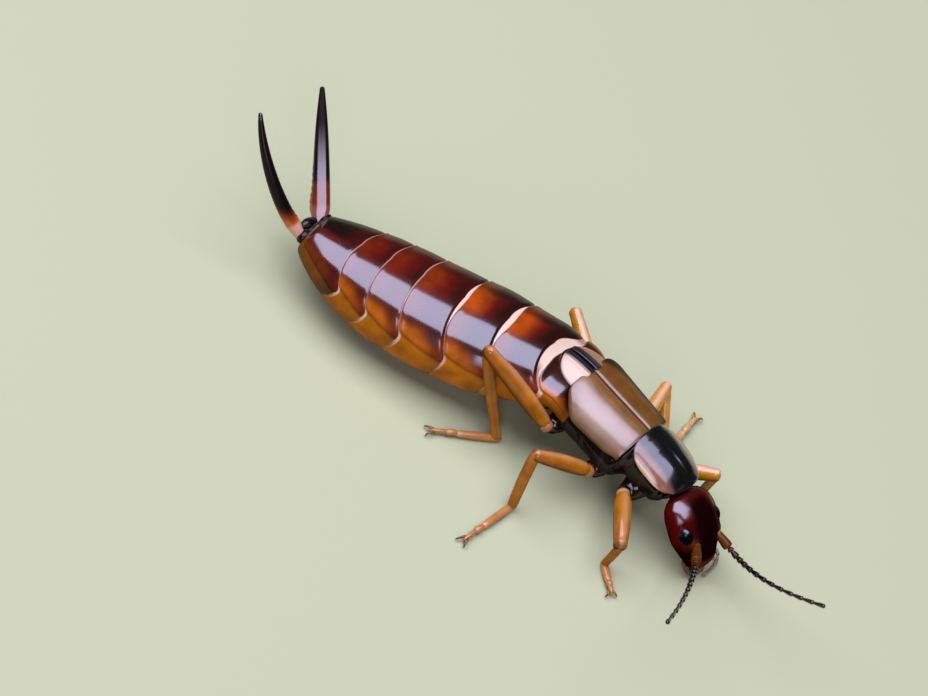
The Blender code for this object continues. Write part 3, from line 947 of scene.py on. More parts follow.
    def share(self, number: int, step: float, degrees: float) -> float:
        """Find the place along the middle line of a ring at an angle.

        Args:
            number: the plate.
            step: the place on it.
            degrees: the angle from the top.

        Returns:
            The place along the middle line.
        """
        start = self.margins[number - 1] if number else -self.waist_share
        narrow = mix(1.0, 0.20, smooth((abs(degrees + 2.0) - 6.0) / 30.0))
        if number == 0:
            narrow = mix(1.0, 0.45, smooth((abs(degrees) - 22.0) / 34.0))
        soft = self.soft[number] * (narrow if number < 3 else 1.0)
        end = self.margins[number] - soft
        place = mix(start, end, step) if step <= 1.0 else mix(end, self.margins[number], step - 1.0)
        lean = self.lean(degrees)
        if number == 0:
            lean *= min(step, 1.0)
        if number == len(self.margins) - 1:
            lean *= 1.0 - step
        return place - lean

    def relief(self, number: int, step: float, flank: float, belly: bool) -> float:
        """Raise the plates over the soft skin, with a lip at each hind margin.

        Args:
            number: the plate.
            step: the place on it.
            flank: the angle from the top, without its side.
            belly: whether it is a belly plate.

        Returns:
            The rise in millimetres.
        """
        deep = 1.0 if number < 3 else 0.42
        before = 1.0 if number in (1, 2, 3) else (0.0 if number == 0 else 0.42)
        if step > 1.0:
            part = step - 1.0
            return -deep * (0.034 + 0.016 * math.sin(math.pi * part))
        lift = 0.014 * math.sin(math.pi * step) + 0.012 * smooth((step - 0.86) / 0.1)
        lift -= (0.034 * before) * (1.0 - smooth(step / 0.07))
        lift -= 0.040 * deep * smooth((step - 0.985) / 0.015)
        if belly:
            return lift * 0.6 - 0.030 + 0.012 * smooth((flank - 80.0) / 20.0)
        return lift + 0.004 * bump(flank, self.lower_edge(step) - 2.0, 3.0)

    def place(self, ring: Tuple[int, float], turn: float) -> Tuple[Vector, Marks]:
        """Give the point and marks of a ring at a column.

        Args:
            ring: the plate and the place on it.
            turn: the column's angle in radians.

        Returns:
            The point in millimetres and its marks.
        """
        number, step = ring
        column = math.degrees(turn)
        degrees = self.angle(column, step)
        belly = abs(column) > self.edge_column + 0.1
        share = self.share(number, step, degrees)
        side, up = self.axes(share)
        wide, above, below = self.size(share)
        turn = math.radians(degrees)
        high = above if abs(degrees) < 90.0 else below
        lift = self.relief(number, step, abs(degrees), belly)
        station = Station(self.middle(share), side, up, wide, high, share)
        across, rise = oval(station, turn, self.boxiness, lift)
        point = station.centre + side * across + up * rise
        return point, self.marks(number, step, degrees, belly)

    def marks(self, number: int, step: float, degrees: float, belly: bool) -> Marks:
        """Tan the plates: black in front, mahogany to orange behind, amber on the belly, with painted shade
        under the belly and behind each lip, and one painted dark reflection.

        Args:
            number: the plate.
            step: the place on it.
            degrees: the angle from the top.
            belly: whether it is a belly plate.

        Returns:
            The marks.
        """
        flank = abs(degrees)
        low = self.lower_edge(step)
        dull = max(smooth((flank - 56.0) / 14.0), 0.75 * smooth(degrees / 30.0))
        if step > 1.0:
            part = step - 1.0
            pale = self.skin_pale[number]
            pale *= 1.0 - 0.62 * smooth((flank - 30.0) / 16.0)
            pale = max(pale, 0.85 * bump(flank, low + 12.0, 9.0))
            # A brown line where the skin meets the next plate, and a dark line behind the lip that is the
            # lip's painted shadow.
            rim = 0.6 * bump(part, 1.0, 0.16) + 0.45 * bump(part, 0.0, 0.12)
            rim *= 1.0 if number < 3 else 0.4
            return rim, pale, 0.6 * smooth((flank - 50) / 20), 0.2, max(dull, 0.5 * pale)
        strong, reach = self.front_dark[number], self.dark_reach[number]
        back = 1.0 - 0.62 * smooth((flank - 26.0) / 22.0)
        front = (1.0 - smooth((step - 0.08) / reach)) * (0.74 + 0.26 * smooth(step / 0.14))
        dark = strong * front * back if number else 0.93 * (1.0 - smooth((flank - 46.0) / 20.0))
        band = 0.88 if number < 3 else (0.70 if number == 3 else 0.50)
        band *= smooth((flank - 9.0) / 14.0) * (1.0 - smooth((flank - 46.0) / 16.0))
        dark = max(dark, band * (1.0 - 0.25 * smooth((step - 0.5) / 0.5)))
        smudge = 0.85 if number < 4 else 0.62
        dark = max(dark, smudge * bump(flank, 57.0, 12.0) * bump(step, 0.24, 0.24))
        if number == len(self.margins) - 1:
            black = 0.96 * smooth((degrees + 20.0) / 16.0)
            dark = max(dark, black * mix(0.5, 1.0, smooth((step - 0.05) / 0.4)))
            dark = max(dark, 0.9 * smooth((step - 0.84) / 0.1) * smooth((degrees + 50.0) / 12.0))
        # A black spot on one side only, at the upper edge of the highlight band: a painted dark reflection.
        if number == 2 and step > 0.8:
            dark = max(dark, 0.9 * bump(degrees, -21.0, 4.0) * bump(step, 0.97, 0.06))
        warm = 0.95 if number < 3 else (0.30 if number == 3 else 0.12)
        glow = smooth((step - 0.38) / 0.45) * warm
        if belly:
            rim = 0.9 * smooth((step - 0.96) / 0.02) * bump(flank, low + 14.0, 11.0)
            # The belly is darkened in the crease under the back plates' lower edge, at each plate's front
            # under the plate before, and toward the underside: painted shade.
            shade = 0.40 * bump(flank, low + 1.5, 2.4) + 0.22 * bump(step, 0.1, 0.2)
            shade += 0.30 * smooth((flank - 108.0) / 40.0)
            shade += self.belly_tone_and_shade[number]
            return shade, rim, 1.0, 0.5, 1.0
        amber = smooth((flank - 44.0) / 22.0) * mix(0.22, 0.95, smooth((step - 0.1) / 0.6))
        amber *= self.flank_amber[number]
        if number == len(self.margins) - 1:
            dark = max(dark, 0.42 * smooth((flank - 34.0) / 14.0))
        line = 0.40 * smooth((flank - 42.0) / 12.0) * smooth((step - 0.965) / 0.03)
        rim = 0.12 * bump(step, 0.995, 0.012)
        return max(dark, line), rim, 0.62 * amber * (1.0 - 0.5 * dark), max(glow, 0.9 * amber), dull

    def build(self, finish: bpy.types.Material) -> None:
        """Lay the whole hind body in one skin.

        Args:
            finish: the piece's material.
        """
        rings = self.rings()
        piece = lay_points(
            "abdomen", self.sides, len(rings), lambda ring, turn: self.place(rings[ring], turn)
        )
        set_in_place(piece, finish, "abdomen", "abdomen_front", "abdomen_middle", "abdomen_rear")

    def hairs(self, bristles: Bristles, count: int) -> None:
        """Set short pale hairs along the hind margins and over the belly and flanks.

        Args:
            bristles: takes the hairs.
            count: the number of hairs.
        """
        draw = random.Random(self.hair_seed)
        tail = (self.line[3] - self.line[0]).normalized()
        for _ in range(count):
            number = draw.randrange(1, 7)
            step = min(1.0, abs(draw.gauss(0.75, 0.3)))
            column = draw.choice((-1, 1)) * (180.0 - abs(draw.gauss(0.0, 27.0)))
            root, _ = self.place((number, step), math.radians(column))
            back, _ = self.place((number, step), math.radians(column + 180.0))
            out = (root - back).normalized()
            way = out * draw.uniform(0.35, 0.8) + tail * draw.uniform(0.6, 1.0)
            spot = (column / 360.0 + 0.5, (number + step) / 7.0)
            bristles.add(root - out * 0.01, way, draw.uniform(0.05, 0.09), spot)


# ---- thorax


@dataclass
class Thorax:
    """The middle body from the root of the abdomen to the nape, in one dark skin."""

    rear: float = -1.85
    front: float = 2.62
    half_width: float = 1.17
    half_height: float = 0.56
    seams: Tuple[float, ...] = (-1.15, -0.42, 0.35, 0.98, 1.45)
    hips: Tuple[float, ...] = (1.22, 0.17, -1.42)
    rings: int = 150

    def size(self, along: float) -> Tuple[float, float, float]:
        """Give the half width, half height and height of the middle at a distance forward.

        Args:
            along: the distance forward in millimetres.

        Returns:
            The three measures in millimetres.
        """
        hind = rounded(min((along - self.rear) / 3.1, 0.5), 0.22, 0.35)
        wide = self.half_width * mix(0.90, 1.0, smooth((along - self.rear) / 1.2)) * hind
        waist = smooth((along - 0.55) / 0.45)
        wide = mix(wide, 0.74, waist)
        high = mix(self.half_height * hind, 0.40, waist)
        neck = smooth((along - 1.85) / 0.45)
        wide = mix(wide, 0.34, neck)
        high = mix(high, 0.26, neck)
        return wide, high, mix(-0.42, -0.32, waist)

    def outline(self, station: Station, turn: float) -> Tuple[float, float, Marks]:
        """Give the side plates, parted by slanting seams, and the bulges of the hips.

        Args:
            station: the ring that is laid.
            turn: the angle from the ring's top, in radians.

        Returns:
            How far the point lies across and above the middle, and its marks.
        """
        flank = abs(math.degrees(turn))
        along = station.share
        side = bump(flank, 105.0, 42.0)
        lift, seam = 0.0, 0.0
        for place in self.seams:
            slant = place + 0.25 * (flank - 100.0) / 60.0
            seam = max(seam, bump(along, slant, 0.045) * side)
        for hip in self.hips:
            lift += 0.05 * bump(along, hip + 0.1, 0.28) * bump(flank, 125.0, 26.0)
        folds = smooth((along - 1.95) / 0.15) * 0.02 * math.sin(along * 46.0)
        across, above = oval(station, turn, 2.25, lift - 0.018 * seam + folds)
        if above > 0.0:
            under_shield = smooth((along - 0.50) / 0.20) * (1.0 - smooth((along - 1.95) / 0.35))
            above *= mix(1.0, mix(2.10, 1.40, (along - 0.56) / 1.88), under_shield)
        brown = 0.21 * bump(flank, 118.0, 20.0) * (1.0 - seam)
        dull = 0.85 * smooth((flank - 70.0) / 30.0)
        return across, above, (0.0, 0.10 * seam, brown, 0.3 * side, dull)

    def build(self, finish: bpy.types.Material) -> None:
        """Lay the skin from the rear of the thorax to inside the head's rim.

        Args:
            finish: the piece's material.
        """
        stations = []
        for index in range(self.rings):
            along = mix(self.rear, self.front, index / (self.rings - 1))
            wide, high, middle = self.size(along)
            centre = THORAX.point(along, 0.0, middle)
            bend = smooth((along - 2.0) / 0.6)
            centre = mix(centre, HEAD.point(along - 2.36, 0.0, -0.05), bend)
            side = mix(THORAX_LEFT, HEAD_LEFT, bend).normalized()
            up = mix(THORAX_UP, HEAD_UP, bend).normalized()
            stations.append(Station(centre, side, up, wide, high, along))
        piece = lay_skin("thorax_skin", 96, stations, self.outline)
        set_in_place(piece, finish, "dark_cuticle", "thorax", "prothorax", "neck")


@dataclass
class Pronotum:
    """The shield over the first ring: a black raised middle with see-through tan margins."""

    front: float = 2.44
    rear: float = 0.56
    half_width: float = 0.99
    thickness: float = 0.18
    droop: float = 0.34

    def outline(self, station: Station, turn: float) -> Tuple[float, float, Marks]:
        """Give the plate's arched section, its turned-up rim and its middle groove.

        Args:
            station: the ring that is laid.
            turn: the angle from the ring's top, in radians.

        Returns:
            How far the point lies across and above the middle, and its marks.
        """
        across, above = oval(station, turn, 2.2)
        share = across / self.half_width
        top = math.cos(turn) > -0.1
        above -= self.droop * share * share
        along = station.share
        lobe = bump(along, 0.70, 0.20) * bump(abs(share), 0.30, 0.24)
        groove = bump(share, 0.0, 0.035) * bump(along, 0.62, 0.33)
        cross = bump(along, 0.40, 0.05) * bump(share, 0.0, 0.5)
        edge = max(abs(share), abs(2.0 * along - 1.0))
        rim = bump(edge, 0.93, 0.045)
        if top:
            above += 0.05 * lobe - 0.03 * groove - 0.018 * cross + 0.012 * rim
            above -= 0.012 * bump(edge, 0.80, 0.07)
        core = 1.0 - smooth((abs(share) - 0.45 - 0.05 * along) / 0.20)
        core *= smooth((along + 0.02) / 0.05)
        # The pale margin reaches further in on the near side and the far margin is tinted tan: painted light
        # on the near side, painted shade on the far side.
        pale = 0.8 * smooth((abs(share) - (0.93 if share > 0.0 else 0.84)) / 0.06)
        tan = (0.9 if share > 0.0 else 0.55) * bump(abs(share), 0.72, 0.12)
        return across, above, (core, pale, tan * (1.0 - core), 0.3 * (1.0 - core))

    def build(self, finish: bpy.types.Material) -> None:
        """Lay the shield from its hind edge forward.

        Args:
            finish: the piece's material.
        """
        stations = []
        for share in end_shares(90):
            power = mix(3.0, 2.5, share)
            round_off = max(0.0, 1.0 - abs(2.0 * share - 1.0) ** power) ** (1 / power)
            wide = self.half_width * mix(1.0, 0.90, share) * max(round_off, 0.12)
            top = mix(0.75, 0.44, share) + 0.06 * math.sin(math.pi * share)
            half = self.thickness / 2 * max(round_off, 0.4)
            along = mix(self.rear, self.front, share)
            centre = THORAX.point(along, 0.0, top - self.thickness / 2)
            stations.append(Station(centre, THORAX_LEFT, THORAX_UP, wide, half, share))
        piece = lay_skin("pronotum_shield", 120, stations, self.outline)
        set_in_place(piece, finish, "dark_cuticle", "pronotum")


@dataclass
class WingCase:
    """One leathery wing case, curved from the seam on the back down the side."""

    hand: Hand
    top: float = 0.70
    front: float = 0.60
    rear: float = -1.72
    wide_front: float = 1.16
    wide_rear: float = 1.36
    thickness: float = 0.22
    seam: float = 0.014

    def outline(self, station: Station, turn: float) -> Tuple[float, float, Marks]:
        """Give the curved plate's section: angles run from the seam to the lower edge.

        Args:
            station: the ring that is laid.
            turn: the angle from the ring's top, in radians.

        Returns:
            How far the point lies across and above the middle, and its marks.
        """
        share = station.share
        wide = mix(self.wide_rear, self.wide_front, share)
        end = rounded(share, 0.10, 0.3)
        half = self.thickness / 2 * max(end, 0.5)
        seam = math.asin(self.seam / (wide - self.thickness))
        edge = math.radians(mix(52.0, 97.0, smooth(share / 0.36)))
        edge *= mix(1.0, 0.88, smooth((share - 0.78) / 0.22))
        edge *= mix(0.62, 1.0, rounded(min(share, 0.5), 0.09, 0.0))
        seam += 0.16 * (1.0 - rounded(min(share, 0.5), 0.06, 0.0))
        middle, spread = (edge + seam) / 2, (edge - seam) / 2
        angle = middle + spread * signed_power(math.sin(turn), 0.55)
        depth = half * (signed_power(math.cos(turn), 0.55) - 1.0)
        out = (angle - seam) / (edge - seam)
        rise = self.top - 0.05 * (1.0 - end)
        rib = 0.010 * bump(out, 0.84, 0.06) + 0.004 * bump(out, 0.05, 0.04)
        if math.cos(turn) > 0.0:
            depth += rib
        border = max(0.45 * bump(out, 0.0, 0.018), 0.30 * bump(out, 0.10, 0.016))
        border = max(border, 0.35 * bump(share, 0.0, 0.02), 0.5 * bump(share, 1.0, 0.03))
        border = max(border, 0.30 * bump(out, 0.20, 0.016))
        # The far case is painted darker and browner than the near one: painted shade. The near case gets a
        # pale patch in its middle: a painted highlight.
        far = self.hand is Hand.LEFT
        outer = 0.30 + 0.66 * smooth((out - 0.34) / 0.24) if far else 0.45 * smooth((out - 0.78) / 0.25)
        border = max(border, outer)
        warm = 0.85 if far else 0.65 * smooth((0.34 - out) / 0.2) + 0.35 * smooth((out - 0.70) / 0.2)
        near_painted_highlight = 0.0 if far else 0.85 * bump(out, 0.50, 0.24) * bump(share, 0.45, 0.45)
        dull = 0.9 * smooth((out - (0.25 if far else 0.80)) / 0.18)
        marks = (min(1.0, border), near_painted_highlight, warm, 0.4 * bump(out, 0.4, 0.3), dull)
        return (wide + depth) * math.sin(angle), (rise + depth) * math.cos(angle), marks

    def build(self, finish: bpy.types.Material) -> None:
        """Lay the wing case.

        Args:
            finish: the piece's material.
        """
        stations = []
        for share in end_shares(110):
            along = mix(self.rear, self.front, share)
            side = THORAX_LEFT * self.hand.value
            stations.append(Station(THORAX.point(along, 0.0, 0.0), side, THORAX_UP, 1.0, 1.0, share))
        piece = lay_skin(f"tegmen_{self.hand.word}", 108, stations, self.outline)
        set_in_place(piece, finish, "wing_case", f"wing_case_{self.hand.word}")


@dataclass
class WingTip:
    """The tip of one folded hind wing: a cream oval with a dark inner stripe."""

    hand: Hand
    start: float = -1.60
    length: float = 0.94
    half_width: float = 0.41
    thickness: float = 0.16
    seam: float = 0.03
    rings: int = 60

    def outline(self, station: Station, turn: float) -> Tuple[float, float, Marks]:
        """Give a thin leaf with a folded ridge near its inner edge.

        Args:
            station: the ring that is laid.
            turn: the angle from the ring's top, in radians.

        Returns:
            How far the point lies across and above the middle, and its marks.
        """
        across, above = oval(station, turn, 2.3)
        inward = (across + station.wide) / (2.0 * self.half_width)
        if math.cos(turn) > 0.0:
            above += 0.035 * bump(inward, 0.20, 0.05) - 0.02 * bump(inward, 0.30, 0.05)
        edge = abs(across) / max(station.wide, 0.01)
        inner = 1.0 - smooth((inward - 0.20) / 0.09)
        rim = 0.85 * smooth((edge - 0.88) / 0.08)
        tip = 0.8 * smooth((station.share - 0.95) / 0.04)
        # The far tip is tinted tan instead of cream: painted shade.
        tan = 0.85 if self.hand is Hand.LEFT else 0.0
        return across, above, (max(inner, rim, tip), 0.5 * (1 - inner) * (1 - tan), tan, 0.0)

    def build(self, finish: bpy.types.Material) -> None:
        """Lay the leaf from under its wing case back over the abdomen.

        Args:
            finish: the piece's material.
        """
        sign = self.hand.value
        side = (THORAX_LEFT * sign * 0.93 - THORAX_UP * 0.37).normalized()
        over = (THORAX_UP * 0.93 + THORAX_LEFT * sign * 0.37).normalized()
        stations = []
        for index in range(self.rings):
            share = math.sin(0.5 * math.pi * index / (self.rings - 1))
            along = self.start - self.length * share
            round_off = math.sqrt(max(0.0, 1.0 - share**2.6))
            wide = self.half_width * max(round_off, 0.10)
            centre = THORAX.point(along, sign * (self.seam + 0.95 * wide), 0.56 - 0.05 * share)
            half = self.thickness / 2 * max(round_off, 0.3)
            stations.append(Station(centre, side, over, wide, half, share))
        piece = lay_skin(f"folded_wing_{self.hand.word}", 64, stations, self.outline)
        set_in_place(piece, finish, "wing_tip", f"wing_tip_{self.hand.word}")


# ---- head


# Name, start, end, half width, half height and height of each lip along the head.
LIPS = (
    ("upper_lip", 1.98, 2.46, 0.32, 0.11, -0.10),
    ("lower_lip", 1.80, 2.30, 0.27, 0.10, -0.26),
)
# Places along, out from and above the head's middle line, from root to tip.
JAW = ((1.86, 0.38, -0.26), (2.12, 0.42, -0.32), (2.34, 0.28, -0.38), (2.42, 0.06, -0.38))
LIP_FEELER = ((1.80, 0.20, -0.44), (1.98, 0.32, -0.46), (2.20, 0.28, -0.42), (2.34, 0.16, -0.38))
JAW_FEELERS = {
    Hand.LEFT: ((1.75, 0.60, -0.42), (2.10, 1.16, -0.26), (2.50, 0.95, -0.20), (2.49, 0.10, -0.22)),
    Hand.RIGHT: ((1.55, 0.35, -0.35), (1.75, 0.44, -0.42), (2.20, 0.38, -0.34), (2.44, 0.20, -0.34)),
}
JAW_FEELER_CUTS = (0.0, 0.12, 0.25, 0.52, 0.77, 1.0)
LIP_FEELER_CUTS = (0.0, 0.3, 0.62, 1.0)


def head_points(places: Sequence[Tuple[float, float, float]], hand: Hand) -> Tuple[Vector, ...]:
    """Place points on one side of the head."""
    return tuple(HEAD.point(along, hand.value * out, up) for along, out, up in places)


@dataclass
class Head:
    """The head capsule with its eyes, mouth and jaw feelers."""

    length: float = 2.28
    half_width: float = 0.87
    half_height: float = 0.54
    arch: float = 0.08
    eye_along: float = 1.02
    eye_out: float = 0.69
    eye_up: float = 0.30
    eye_radius: float = 0.240
    far_eye_back: float = 0.14
    far_eye_out: float = 0.61

    def outline(self, station: Station, turn: float) -> Tuple[float, float, Marks]:
        """Give the capsule's seams, its eye sockets and the collars of the feelers.

        Args:
            station: the ring that is laid.
            turn: the angle from the ring's top, in radians.

        Returns:
            How far the point lies across and above the middle, and its marks.
        """
        share = station.share
        out = math.sin(turn) * station.wide / self.half_width
        side = math.degrees(turn)
        angle = abs(side)
        top = smooth((math.cos(turn) + 0.05) / 0.2)
        stem = bump(out, 0.0, 0.020) * smooth((0.44 - share) / 0.05)
        arms = bump(abs(out), max(0.0, (share - 0.42) * 1.9), 0.026) * smooth((share - 0.41) / 0.02)
        arms *= smooth((0.60 - share) / 0.06)
        lift = -(0.009 * stem + 0.005 * arms) * top
        lift -= 0.04 * bump(share, 0.035, 0.02)
        socket = bump(share, FEELER_ALONG / self.length, 0.055) * bump(angle, 42.0, 12.0)
        lift += 0.030 * socket
        ring = math.hypot((share * self.length - self.eye_along) / 0.31, (angle - 60.0) / 24.0)
        lift -= 0.008 * bump(ring, 0.70, 0.25)
        lift += 0.025 * bump(share, 0.82, 0.09) * bump(out, 0.0, 0.26) * top
        clypeus = bump(share, 0.915, 0.010) * bump(out, 0.0, 0.34) * top
        lift -= 0.02 * clypeus
        across, above = oval(station, turn, 2.15, lift)
        dark = 0.9 * smooth((35.0 + 22.0 * share - angle) / 26.0) * smooth((share - 0.03) / 0.16)
        dark = max(dark, 0.8 * bump(share, 0.01, 0.03), 0.75 * smooth((angle - 118.0) / 22.0))
        dark = max(dark, 0.86 * smooth((share - 0.52) / 0.2) * (1.0 - 0.5 * socket))
        amber = max(0.5 * socket, 0.85 * smooth((share - 0.86) / 0.06) * smooth((80.0 - angle) / 20.0))
        glow = smooth((angle - 48.0) / 26.0)
        dull = max(min(1.0, 1.2 * dark), smooth((angle - 64.0) / 14.0), smooth((side - 30.0) / 30.0))
        dull = max(dull, 0.95 * smooth((share - 0.25) / 0.09))
        return across, above, (dark * (1.0 - amber), 0.12 * socket, amber, glow, dull)

    def stations(self) -> List[Station]:
        """Set the capsule's stations from the nape to the clypeus.

        Returns:
            The stations.
        """
        made = []
        for share in end_shares(120):
            wide = 0.86 + 0.14 * smooth(share / 0.35) - 0.46 * smooth((share - 0.50) / 0.50)
            high = 0.64 + 0.36 * smooth(share / 0.35) - 0.40 * smooth((share - 0.50) / 0.50)
            end = min(rounded(share, 0.12, 0.0), rounded(min(share, 0.5), 0.20, 0.0))
            wide *= max(end, 0.30)
            high *= max(end, 0.25)
            up = self.arch * math.sin(math.pi * share) - 0.05 - 0.05 * smooth((share - 0.3) / 0.7)
            centre = HEAD.point(self.length * share - 0.08, 0.0, up)
            wide, high = wide * self.half_width, high * self.half_height
            made.append(Station(centre, HEAD_LEFT, HEAD_UP, wide, high, share))
        return made

    def build_capsule(self, finish: bpy.types.Material) -> None:
        """Lay the capsule.

        Args:
            finish: the piece's material.
        """
        piece = lay_skin("head_capsule", 144, self.stations(), self.outline)
        set_in_place(piece, finish, "head", "head")

    def build_eye(self, hand: Hand, finish: bpy.types.Material) -> None:
        """Model one eye as a flat dome, longer than wide, dull but for its hind rim.

        Args:
            hand: the eye's side.
            finish: the piece's material.
        """
        left = hand is Hand.LEFT
        along = self.eye_along - (self.far_eye_back if left else 0.0)
        at = HEAD.point(along, hand.value * (self.far_eye_out if left else self.eye_out), self.eye_up)
        out = (HEAD_LEFT * hand.value * 0.80 + HEAD_UP * 0.60).normalized()
        side = HEAD_AHEAD.cross(out).normalized()
        stations = []
        for share in end_shares(44):
            level = 1.0 - 2.0 * share
            size = self.eye_radius * max(0.05, math.sqrt(1.0 - level * level))
            centre = at - HEAD_AHEAD * (self.eye_radius * level)
            stations.append(Station(centre, side, out, size * 0.80, size * 0.66, share))

        def dome(station: Station, turn: float) -> Tuple[float, float, Marks]:
            """Give an oval that is dull but for its hind rim."""
            across, above = oval(station, turn)
            return across, above, (*PLAIN, smooth((station.share - 0.24) / 0.20))

        piece = lay_skin(f"eye_dome_{hand.word}", 56, stations, dome)
        set_in_place(piece, finish, "eye", f"eye_{hand.word}")

    def build_mouth(self, finish: bpy.types.Material) -> None:
        """Model the upper lip, the two jaws and the lower lip.

        Args:
            finish: the piece's material.
        """

        def lip(station: Station, turn: float) -> Tuple[float, float, Marks]:
            """Give a boxy oval, notched in the middle of its front edge."""
            across, above = oval(station, turn, 2.4)
            notch = 0.05 * bump(across, 0.0, 0.08) * smooth((station.share - 0.8) / 0.2)
            edge = smooth((station.share - 0.75) / 0.2)
            return across, above - notch, (0.35 * (1 - edge), 0.35 * edge, 0.25, 0.0)

        pieces = []
        for name, start, end, wide, high, drop in LIPS:
            stations = []
            for index in range(30):
                share = index / 29
                close = rounded(share, 0.3, 0.3)
                centre = HEAD.point(mix(start, end, share), 0.0, drop - 0.06 - 0.18 * share)
                size = wide * mix(1.0, 0.78, share) * close
                stations.append(Station(centre, HEAD_LEFT, HEAD_UP, size, high * close, share))
            pieces.append(lay_skin(name, 40, stations, lip))
        for hand in Hand:
            stations = stations_along(
                head_points(JAW, hand),
                30,
                lambda share: mix(0.15, 0.05, share) * rounded(share, 0.12, 0.3),
                0.7,
                HEAD_UP,
            )
            pieces.append(
                lay_skin(
                    "jaw", 20, stations, lambda s, t: (*oval(s, t), (0.25 + 0.6 * s.share, 0.0, 0.6, 0.0))
                )
            )
        piece = join_pieces("lips_and_jaws", pieces)
        set_in_place(piece, finish, "feeler", "mouthparts")

    def build_palp(self, hand: Hand, finish: bpy.types.Material) -> None:
        """Model one five-jointed jaw feeler and the short lip feeler beside it.

        Args:
            hand: the side.
            finish: the piece's material.
        """
        pieces = jointed(head_points(JAW_FEELERS[hand], hand), JAW_FEELER_CUTS, 0.060, 0.044, 16)
        pieces += jointed(head_points(LIP_FEELER, hand), LIP_FEELER_CUTS, 0.050, 0.038, 12)
        piece = join_pieces(f"jaw_feeler_{hand.word}", pieces)
        set_in_place(piece, finish, "leg", f"palp_{hand.word}")


def jointed(
    points: Sequence[Vector], cuts: Sequence[float], thick: float, thin: float, sides: int
) -> List[bpy.types.Object]:
    """Model the joints of a jaw feeler, each wider at its far end.

    Args:
        points: the middle line's control points.
        cuts: the shares at which the joints meet.
        thick: the first joint's half thickness.
        thin: the last joint's half thickness.
        sides: points round each joint.

    Returns:
        The joints in order from the root.
    """
    pieces = []
    for start, end in zip(cuts, cuts[1:]):
        size = mix(thick, thin, (start + end) / 2)
        shares = [mix(start, end, index / 13) for index in range(14)]

        def wide(share: float, start: float = start, end: float = end, size: float = size) -> float:
            """Give the joint's half thickness."""
            part = (share - start) / (end - start)
            return size * (0.72 + 0.35 * part) * rounded(part, 0.14, 0.3)

        stations = stations_along(points, 0, wide, 1.0, UP, shares)
        pieces.append(lay_skin("joint", sides, stations, lambda s, t: (*oval(s, t), (0.0, 0.55, 0.25, 0.0))))
    return pieces


@dataclass
class Feeler:
    """One feeler of fourteen joints: a long first, a short second, then lengthening beads."""

    hand: Hand
    reach: Tuple[Vector, Vector, Vector]
    lengths: Tuple[float, ...] = (
        0.60, 0.13, 0.25, 0.18, 0.20, 0.25, 0.30, 0.34, 0.38, 0.42, 0.45, 0.48, 0.50, 0.52,
    )
    thick: float = 0.140
    bead: float = 0.100
    thin: float = 0.062
    hairs: int = 16

    def curve(self) -> Tuple[Vector, ...]:
        """Give the control points of the feeler's middle line.

        Returns:
            The control points.
        """
        sign = self.hand.value
        root = HEAD.point(FEELER_ALONG, sign * FEELER_OUT, FEELER_UP)
        start = root + (HEAD_LEFT * sign * 0.7 + HEAD_AHEAD * 0.7).normalized() * 0.12
        inside = root - HEAD_LEFT * sign * 0.06 - HEAD_AHEAD * 0.04 - HEAD_UP * 0.05
        return inside, start + self.reach[0], start + self.reach[1], start + self.reach[2]

    def build(self, finish: bpy.types.Material, bristles: Bristles) -> None:
        """Model the joints along the feeler's curve and set its fine hairs.

        Args:
            finish: the piece's material.
            bristles: takes the fine hairs.
        """
        curve = self.curve()
        ways = measured(curve)
        total, run, low = sum(self.lengths), 0.0, 0.0
        pieces = []
        for number, length in enumerate(self.lengths):
            run += length / total
            high = ways[min(round(run * (len(ways) - 1)), len(ways) - 1)]
            pieces.append(self.joint(number, curve, low, high, bristles))
            low = high
        piece = join_pieces(f"feeler_{self.hand.word}", pieces)
        set_in_place(piece, finish, "feeler", f"antenna_{self.hand.word}")

    def joint(
        self, number: int, curve: Sequence[Vector], low: float, high: float, bristles: Bristles
    ) -> bpy.types.Object:
        """Model one joint, waisted at its root and widest near its far end.

        Args:
            number: the joint, 0 at the root.
            curve: the feeler's control points.
            low: the share at which it starts.
            high: the share at which it ends.
            bristles: takes the fine hairs.

        Returns:
            The joint.
        """
        size = self.thick if number == 0 else mix(self.bead, self.thin, smooth(low * 1.2))
        waist = 0.72 if number == 0 else 0.66

        def wide(share: float) -> float:
            """Give the bead's half thickness."""
            part = min(max((share - low) / (high - low), 0.0), 1.0)
            return size * mix(waist, 1.0, smooth(part / 0.75)) * rounded(part, 0.09, 0.35)

        def outline(station: Station, turn: float) -> Tuple[float, float, Marks]:
            """Give a round section, pale at the bead's root; the first beads are orange."""
            part = (station.share - low) / (high - low)
            orange = 1.0 - smooth((number - 1.2) / 2.2)
            pale = 0.70 * bump(part, 0.0, 0.08)
            dark = 0.85 * smooth((number - 0.6) / 2.0) * (1.0 - pale)
            dull = 0.75 * orange + 0.25 * underside(turn) * orange
            return (*oval(station, turn), (dark + 0.15 * (1.0 - orange), pale, orange, 0.0, dull))

        shares = [mix(low, high, place) for place in end_shares(18)]
        stations = stations_along(curve, 0, wide, 1.0, UP, shares)
        draw = random.Random(31 * number + int(self.hand.value))
        ahead = (stations[-1].centre - stations[0].centre).normalized()
        for _ in range(self.hairs):
            station = draw.choice(stations[6:-3])
            turn = draw.uniform(-math.pi, math.pi)
            out = station.side * math.sin(turn) + station.up * math.cos(turn)
            spot = unwrapped(SKINS.index(f"feeler_{self.hand.word}"), turn, station.share)
            root = station.centre + out * station.wide * 0.9
            bristles.add(root, out * 0.6 + ahead, draw.uniform(0.05, 0.09), spot)
        return lay_skin("bead", 24, stations, outline)


# ---- legs


def underside(turn: float) -> float:
    """Say how dull a limb is at an angle from its top: waxy above, dull below."""
    return smooth((abs(math.degrees(turn)) - 75.0) / 30.0)


# Start and end along the foot as shares, and half thickness in millimetres.
FOOT_JOINTS = ((-0.07, 0.60, 0.118), (0.56, 0.72, 0.098), (0.64, 0.93, 0.068))


